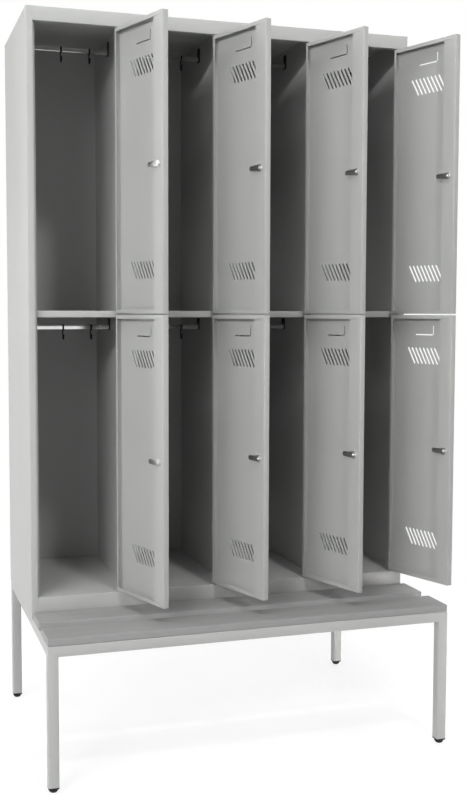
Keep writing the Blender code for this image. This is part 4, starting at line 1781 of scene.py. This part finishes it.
@dataclass(frozen=True)
class Bench:
    """The welded tube frame, its glides and the seat slats."""

    paint: bpy.types.Material
    board: bpy.types.Material
    plastic: bpy.types.Material
    tube: float = 0.030
    rounding: float = 0.0025
    slat_rounding: float = 0.002
    foot_height: float = 0.016
    foot_collar: float = 0.0035
    foot_flat: float = 0.004
    foot_plug: float = 0.006
    foot_steps: int = 8
    gap: float = 0.0003
    merge: float = 0.00001
    flat_angle: float = 0.01

    def build(self) -> None:
        """Build the frame, the glides and the slats."""
        self.build_frame()
        self.build_feet()
        for name in ("front", "rear"):
            self.build_slat(name)

    def build_frame(self) -> None:
        """Weld the tubes into one frame, with a fillet in each inner corner."""
        nodes = [f"bench_leg_{corner}" for corner in BENCH_CORNERS]
        nodes += [f"bench_rail_{side}" for side in ("front", "rear", "left", "right")]
        boxes = {node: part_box(node) for node in nodes}
        foot = min(low.z for low, _ in boxes.values())
        long = self.tube / 2
        frame = None
        for node in nodes:
            low, high = (Vector(corner) for corner in boxes[node])
            if "leg" in node:
                low.z -= long
            elif node.endswith(("front", "rear")):
                low.x, high.x = low.x - long, high.x + long
            else:
                low.y, high.y = low.y - long, high.y + long
            tube = MeshDraft().box(low, high).finish(f"{node}_tube", self.paint)
            if frame is None:
                frame = tube
            else:
                combine(frame, tube, "UNION")
        draft = bmesh.new()
        draft.from_mesh(frame.data)
        bmesh.ops.remove_doubles(draft, verts=draft.verts, dist=self.merge)
        bmesh.ops.dissolve_limit(
            draft, angle_limit=self.flat_angle, verts=draft.verts, edges=draft.edges
        )
        draft.to_mesh(frame.data)
        draft.free()
        round_edges(frame, self.rounding, FOLD_STEPS)
        low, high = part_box("bench_rail_front")
        reach = 2.0 * (high.x - low.x)
        floor = MeshDraft().box((-reach, -reach, -self.tube), (reach, reach, foot))
        combine(frame, floor.finish("leg_ends"), "DIFFERENCE")
        frame.name = "bench_frame"
        hand_over(shade(frame), "frame", nodes)

    def build_feet(self) -> None:
        """Turn one glide with a square collar and place it under each leg."""
        half = self.tube / 2
        dome = self.foot_height - self.foot_collar
        rim = half - self.gap
        profile = [(0.0, dome + self.foot_collar / 2), (rim, dome + self.foot_collar / 2), (rim, dome)]
        for step in range(1, self.foot_steps + 1):
            angle = math.pi / 2 * step / self.foot_steps
            reach = self.foot_flat + (rim - self.foot_flat) * math.cos(angle)
            profile.append((reach, dome * (1.0 - math.sin(angle))))
        profile.append((0.0, 0.0))
        foot = MeshDraft().lathe(profile, Axis.Z, ROUND_SIDES).finish("glide", self.plastic)
        outline = rounded_rectangle((-half, -half), (half, half), self.rounding)
        collar = MeshDraft().prism(outline, Axis.Z, dome, self.foot_height)
        combine(foot, collar.finish("glide_collar", self.plastic), "UNION")
        inner = half - self.rounding
        top = self.foot_height + self.foot_plug
        plug = MeshDraft().box((-inner, -inner, dome + self.gap), (inner, inner, top))
        combine(foot, plug.finish("glide_plug", self.plastic), "UNION")
        data = take_mesh(shade(foot))
        for corner in BENCH_CORNERS:
            node = f"bench_foot_{corner}"
            low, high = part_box(node)
            place = ((low.x + high.x) / 2, (low.y + high.y) / 2, 0.0)
            hand_over(place_copy(f"glide_{corner}", data, place), "frame", [node])

    def build_slat(self, name: str) -> None:
        """Round one seat slat.

        Args:
            name: Which slat, front or rear.
        """
        node = f"seat_slat_{name}"
        low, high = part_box(node)
        slat = MeshDraft().box(low, high).finish(f"slat_{name}", self.board)
        round_edges(slat, self.slat_rounding, CORNER_STEPS)
        hand_over(shade(slat), "frame", [node])


# Light, floor and camera


@dataclass(frozen=True)
class Lamp:
    """A soft rectangular lamp aimed at a point of the plane through the locker's middle."""

    name: str
    place: Point3
    width: float
    height: float
    power: float
    aim_x: float = 0.0
    aim_height: float = 1.1
    spread: float = math.pi

    def build(self) -> None:
        """Make the lamp and point it."""
        data = bpy.data.lights.new(self.name, "AREA")
        data.shape = "RECTANGLE"
        data.size = self.width
        data.size_y = self.height
        data.energy = self.power
        data.spread = self.spread
        made = link_object(self.name, data)
        made.location = self.place
        direction = Vector((self.aim_x, 0.0, self.aim_height)) - Vector(self.place)
        made.rotation_euler = direction.to_track_quat("-Z", "Y").to_euler()


@dataclass(frozen=True)
class Studio:
    """The camera, floor, surrounding light and lamps."""

    camera_place: Point3 = (-1.0795, -3.3478, 1.3363)
    camera_turn: float = -0.3013
    camera_tilt: float = -0.0689
    camera_roll: float = 0.0014
    focal_pixels: float = 1092.5
    middle: Point2 = (211.5, 386.3)
    image: Point2 = (467.0, 799.0)
    sensor: float = 36.0
    dome: float = 0.01
    mirror_rise: Point2 = (0.04, 0.16)
    mirror_upper: float = 0.22
    floor_size: float = 40.0
    floor_tones: Point2 = (0.60, 0.30)
    floor_roughness: float = 0.9
    floor_gloss: float = 0.1
    floor_drop: float = 0.0002
    floor_lift: float = 0.74
    shadow_reach: Point2 = (1.1, 2.2)
    lamps: tuple[Lamp, ...] = (
        Lamp("strip_lamp", (-6.6, -4.6, 3.5), 7.6, 0.3, 360.0, aim_x=-6.6),
        Lamp("small_lamp", (0.38, -3.1, 5.4), 0.45, 0.45, 80.0),
        Lamp("upper_lamp", (-2.2, -2.2, 9.6), 6.0, 6.0, 300.0),
        Lamp("left_lamp", (-5.4, -6.5, 4.2), 4.0, 4.0, 175.0),
        Lamp("right_lamp", (6.5, -5.8, 3.2), 4.0, 4.0, 140.0),
        Lamp("side_lamp", (-7.4, 4.8, 3.1), 4.0, 4.0, 350.0),
        Lamp("right_rear_lamp", (7.7, 3.6, 4.2), 4.0, 4.0, 280.0),
        Lamp("rear_lamp", (1.9, 7.1, 6.3), 4.0, 4.0, 240.0),
        Lamp(
            "rear_leg_lamp",
            (2.6, -3.0, 0.25),
            0.3,
            0.2,
            1.2,
            aim_x=0.797,
            aim_height=0.223,
            spread=math.radians(16.0),
        ),
    )

    def build(self) -> None:
        """Set up the whole studio."""
        self.build_camera()
        self.build_world()
        self.build_floor()
        for lamp in self.lamps:
            lamp.build()
            LOG.info("lamp %s: %.0f W", lamp.name, lamp.power)
        bpy.context.scene.view_settings.view_transform = "Standard"

    def build_camera(self) -> None:
        """Place the camera where the photograph was taken from."""
        data = bpy.data.cameras.new("photo_camera")
        data.sensor_fit = "HORIZONTAL"
        data.sensor_width = self.sensor
        data.lens = self.focal_pixels / self.image[0] * self.sensor
        data.shift_x = (self.image[0] / 2 - self.middle[0]) / self.image[0]
        data.shift_y = (self.middle[1] - self.image[1] / 2) / self.image[0]
        camera = link_object("photo_camera", data)
        turn = Matrix.Rotation(self.camera_turn, 4, "Z")
        tilt = Matrix.Rotation(math.pi / 2 + self.camera_tilt, 4, "X")
        roll = Matrix.Rotation(self.camera_roll, 4, "Z")
        camera.matrix_world = Matrix.Translation(self.camera_place) @ turn @ tilt @ roll
        bpy.context.scene.camera = camera

    def build_world(self) -> None:
        """Surround the object with faint even light, plain white to see and greyer above in mirrors."""
        world = bpy.data.worlds.new("studio")
        bpy.context.scene.world = world
        world.use_nodes = True
        sheet = NodeSheet(world.node_tree)
        world.node_tree.nodes.clear()
        path = sheet.add("ShaderNodeLightPath")
        seen = sheet.math("MAXIMUM", path.outputs["Is Camera Ray"], path.outputs["Is Transmission Ray"])
        place = sheet.add("ShaderNodeTexCoord").outputs["Generated"]
        split = sheet.add("ShaderNodeSeparateXYZ", Vector=place)
        mirrored = sheet.spread(split.outputs["Z"], self.mirror_rise, (1.0, self.mirror_upper))
        shown = sheet.math("MAXIMUM", seen, sheet.math("MULTIPLY", path.outputs["Is Glossy Ray"], mirrored))
        strength = sheet.math("MAXIMUM", shown, self.dome)
        light = sheet.add("ShaderNodeBackground", Color=WHITE, Strength=strength)
        result = sheet.add("ShaderNodeOutputWorld")
        sheet.feed(result, "Surface", light.outputs[0])

    def build_floor(self) -> None:
        """Lay a pale floor that keeps the object's shadow and fades to plain white away from it."""
        half = self.floor_size / 2
        made, sheet, shader = start_material("pale_floor")
        shader.inputs["Roughness"].default_value = self.floor_roughness
        shader.inputs["Specular IOR Level"].default_value = self.floor_gloss
        path = sheet.add("ShaderNodeLightPath")
        seen = sheet.math("MAXIMUM", path.outputs["Is Camera Ray"], path.outputs["Is Glossy Ray"])
        shown = sheet.math("MAXIMUM", seen, path.outputs["Is Transmission Ray"])
        sheet.feed(shader, "Base Color", sheet.spread(shown, (0.0, 1.0), self.floor_tones))
        lift = sheet.math("MULTIPLY", shown, self.floor_lift)
        glow = sheet.add("ShaderNodeEmission", Color=WHITE, Strength=lift)
        near = sheet.tree.nodes.new("ShaderNodeAddShader")
        sheet.feed(near, 0, shader.outputs[0])
        sheet.feed(near, 1, glow.outputs[0])
        white = sheet.add("ShaderNodeEmission", Color=WHITE, Strength=1.0)
        place = sheet.add("ShaderNodeTexCoord").outputs["Object"]
        away = sheet.tree.nodes.new("ShaderNodeVectorMath")
        away.operation = "LENGTH"
        sheet.feed(away, 0, place)
        fade = sheet.spread(away.outputs["Value"], self.shadow_reach, (0.0, 1.0))
        mixed = sheet.add("ShaderNodeMixShader")
        sheet.feed(mixed, 0, sheet.math("MULTIPLY", shown, fade))
        sheet.feed(mixed, 1, near.outputs[0])
        sheet.feed(mixed, 2, white.outputs[0])
        sheet.feed(made.node_tree.nodes["Material Output"], "Surface", mixed.outputs[0])
        floor = MeshDraft()
        corners = [(-half, -half), (half, -half), (half, half), (-half, half)]
        floor.mesh.faces.new([floor.mesh.verts.new((x, y, -self.floor_drop)) for x, y in corners])
        floor.finish("studio_floor", made)


# Assembly


def dress_nodes(frame: dict, finishes: Finishes) -> None:
    """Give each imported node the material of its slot.

    Args:
        finishes: The object's materials.
    """
    materials = finishes.by_slot()
    slots = {entry["node"]: entry["material_slot"] for entry in frame["record"]["subparts"]}
    for name, node in frame["nodes"].items():
        material = materials[slots[name]]
        for place in node.material_slots:
            place.material = material


def main() -> None:
    """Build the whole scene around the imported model."""
    logging.basicConfig(level=logging.INFO, format="%(name)s: %(message)s")
    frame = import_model()
    finishes = Finishes()
    dress_nodes(frame, finishes)
    plan = LockerPlan.from_frame()
    joints = {joint["name"]: joint for joint in frame["joints"]}
    Cabinet(plan, finishes.paint).build()
    DoorSet(joints, finishes.paint, finishes.chrome, plan.columns).build()
    RailSet(plan, finishes.zinc, finishes.black).build()
    Bench(finishes.paint, finishes.board, finishes.black).build()
    Studio().build()


if __name__ == "__main__":
    main()
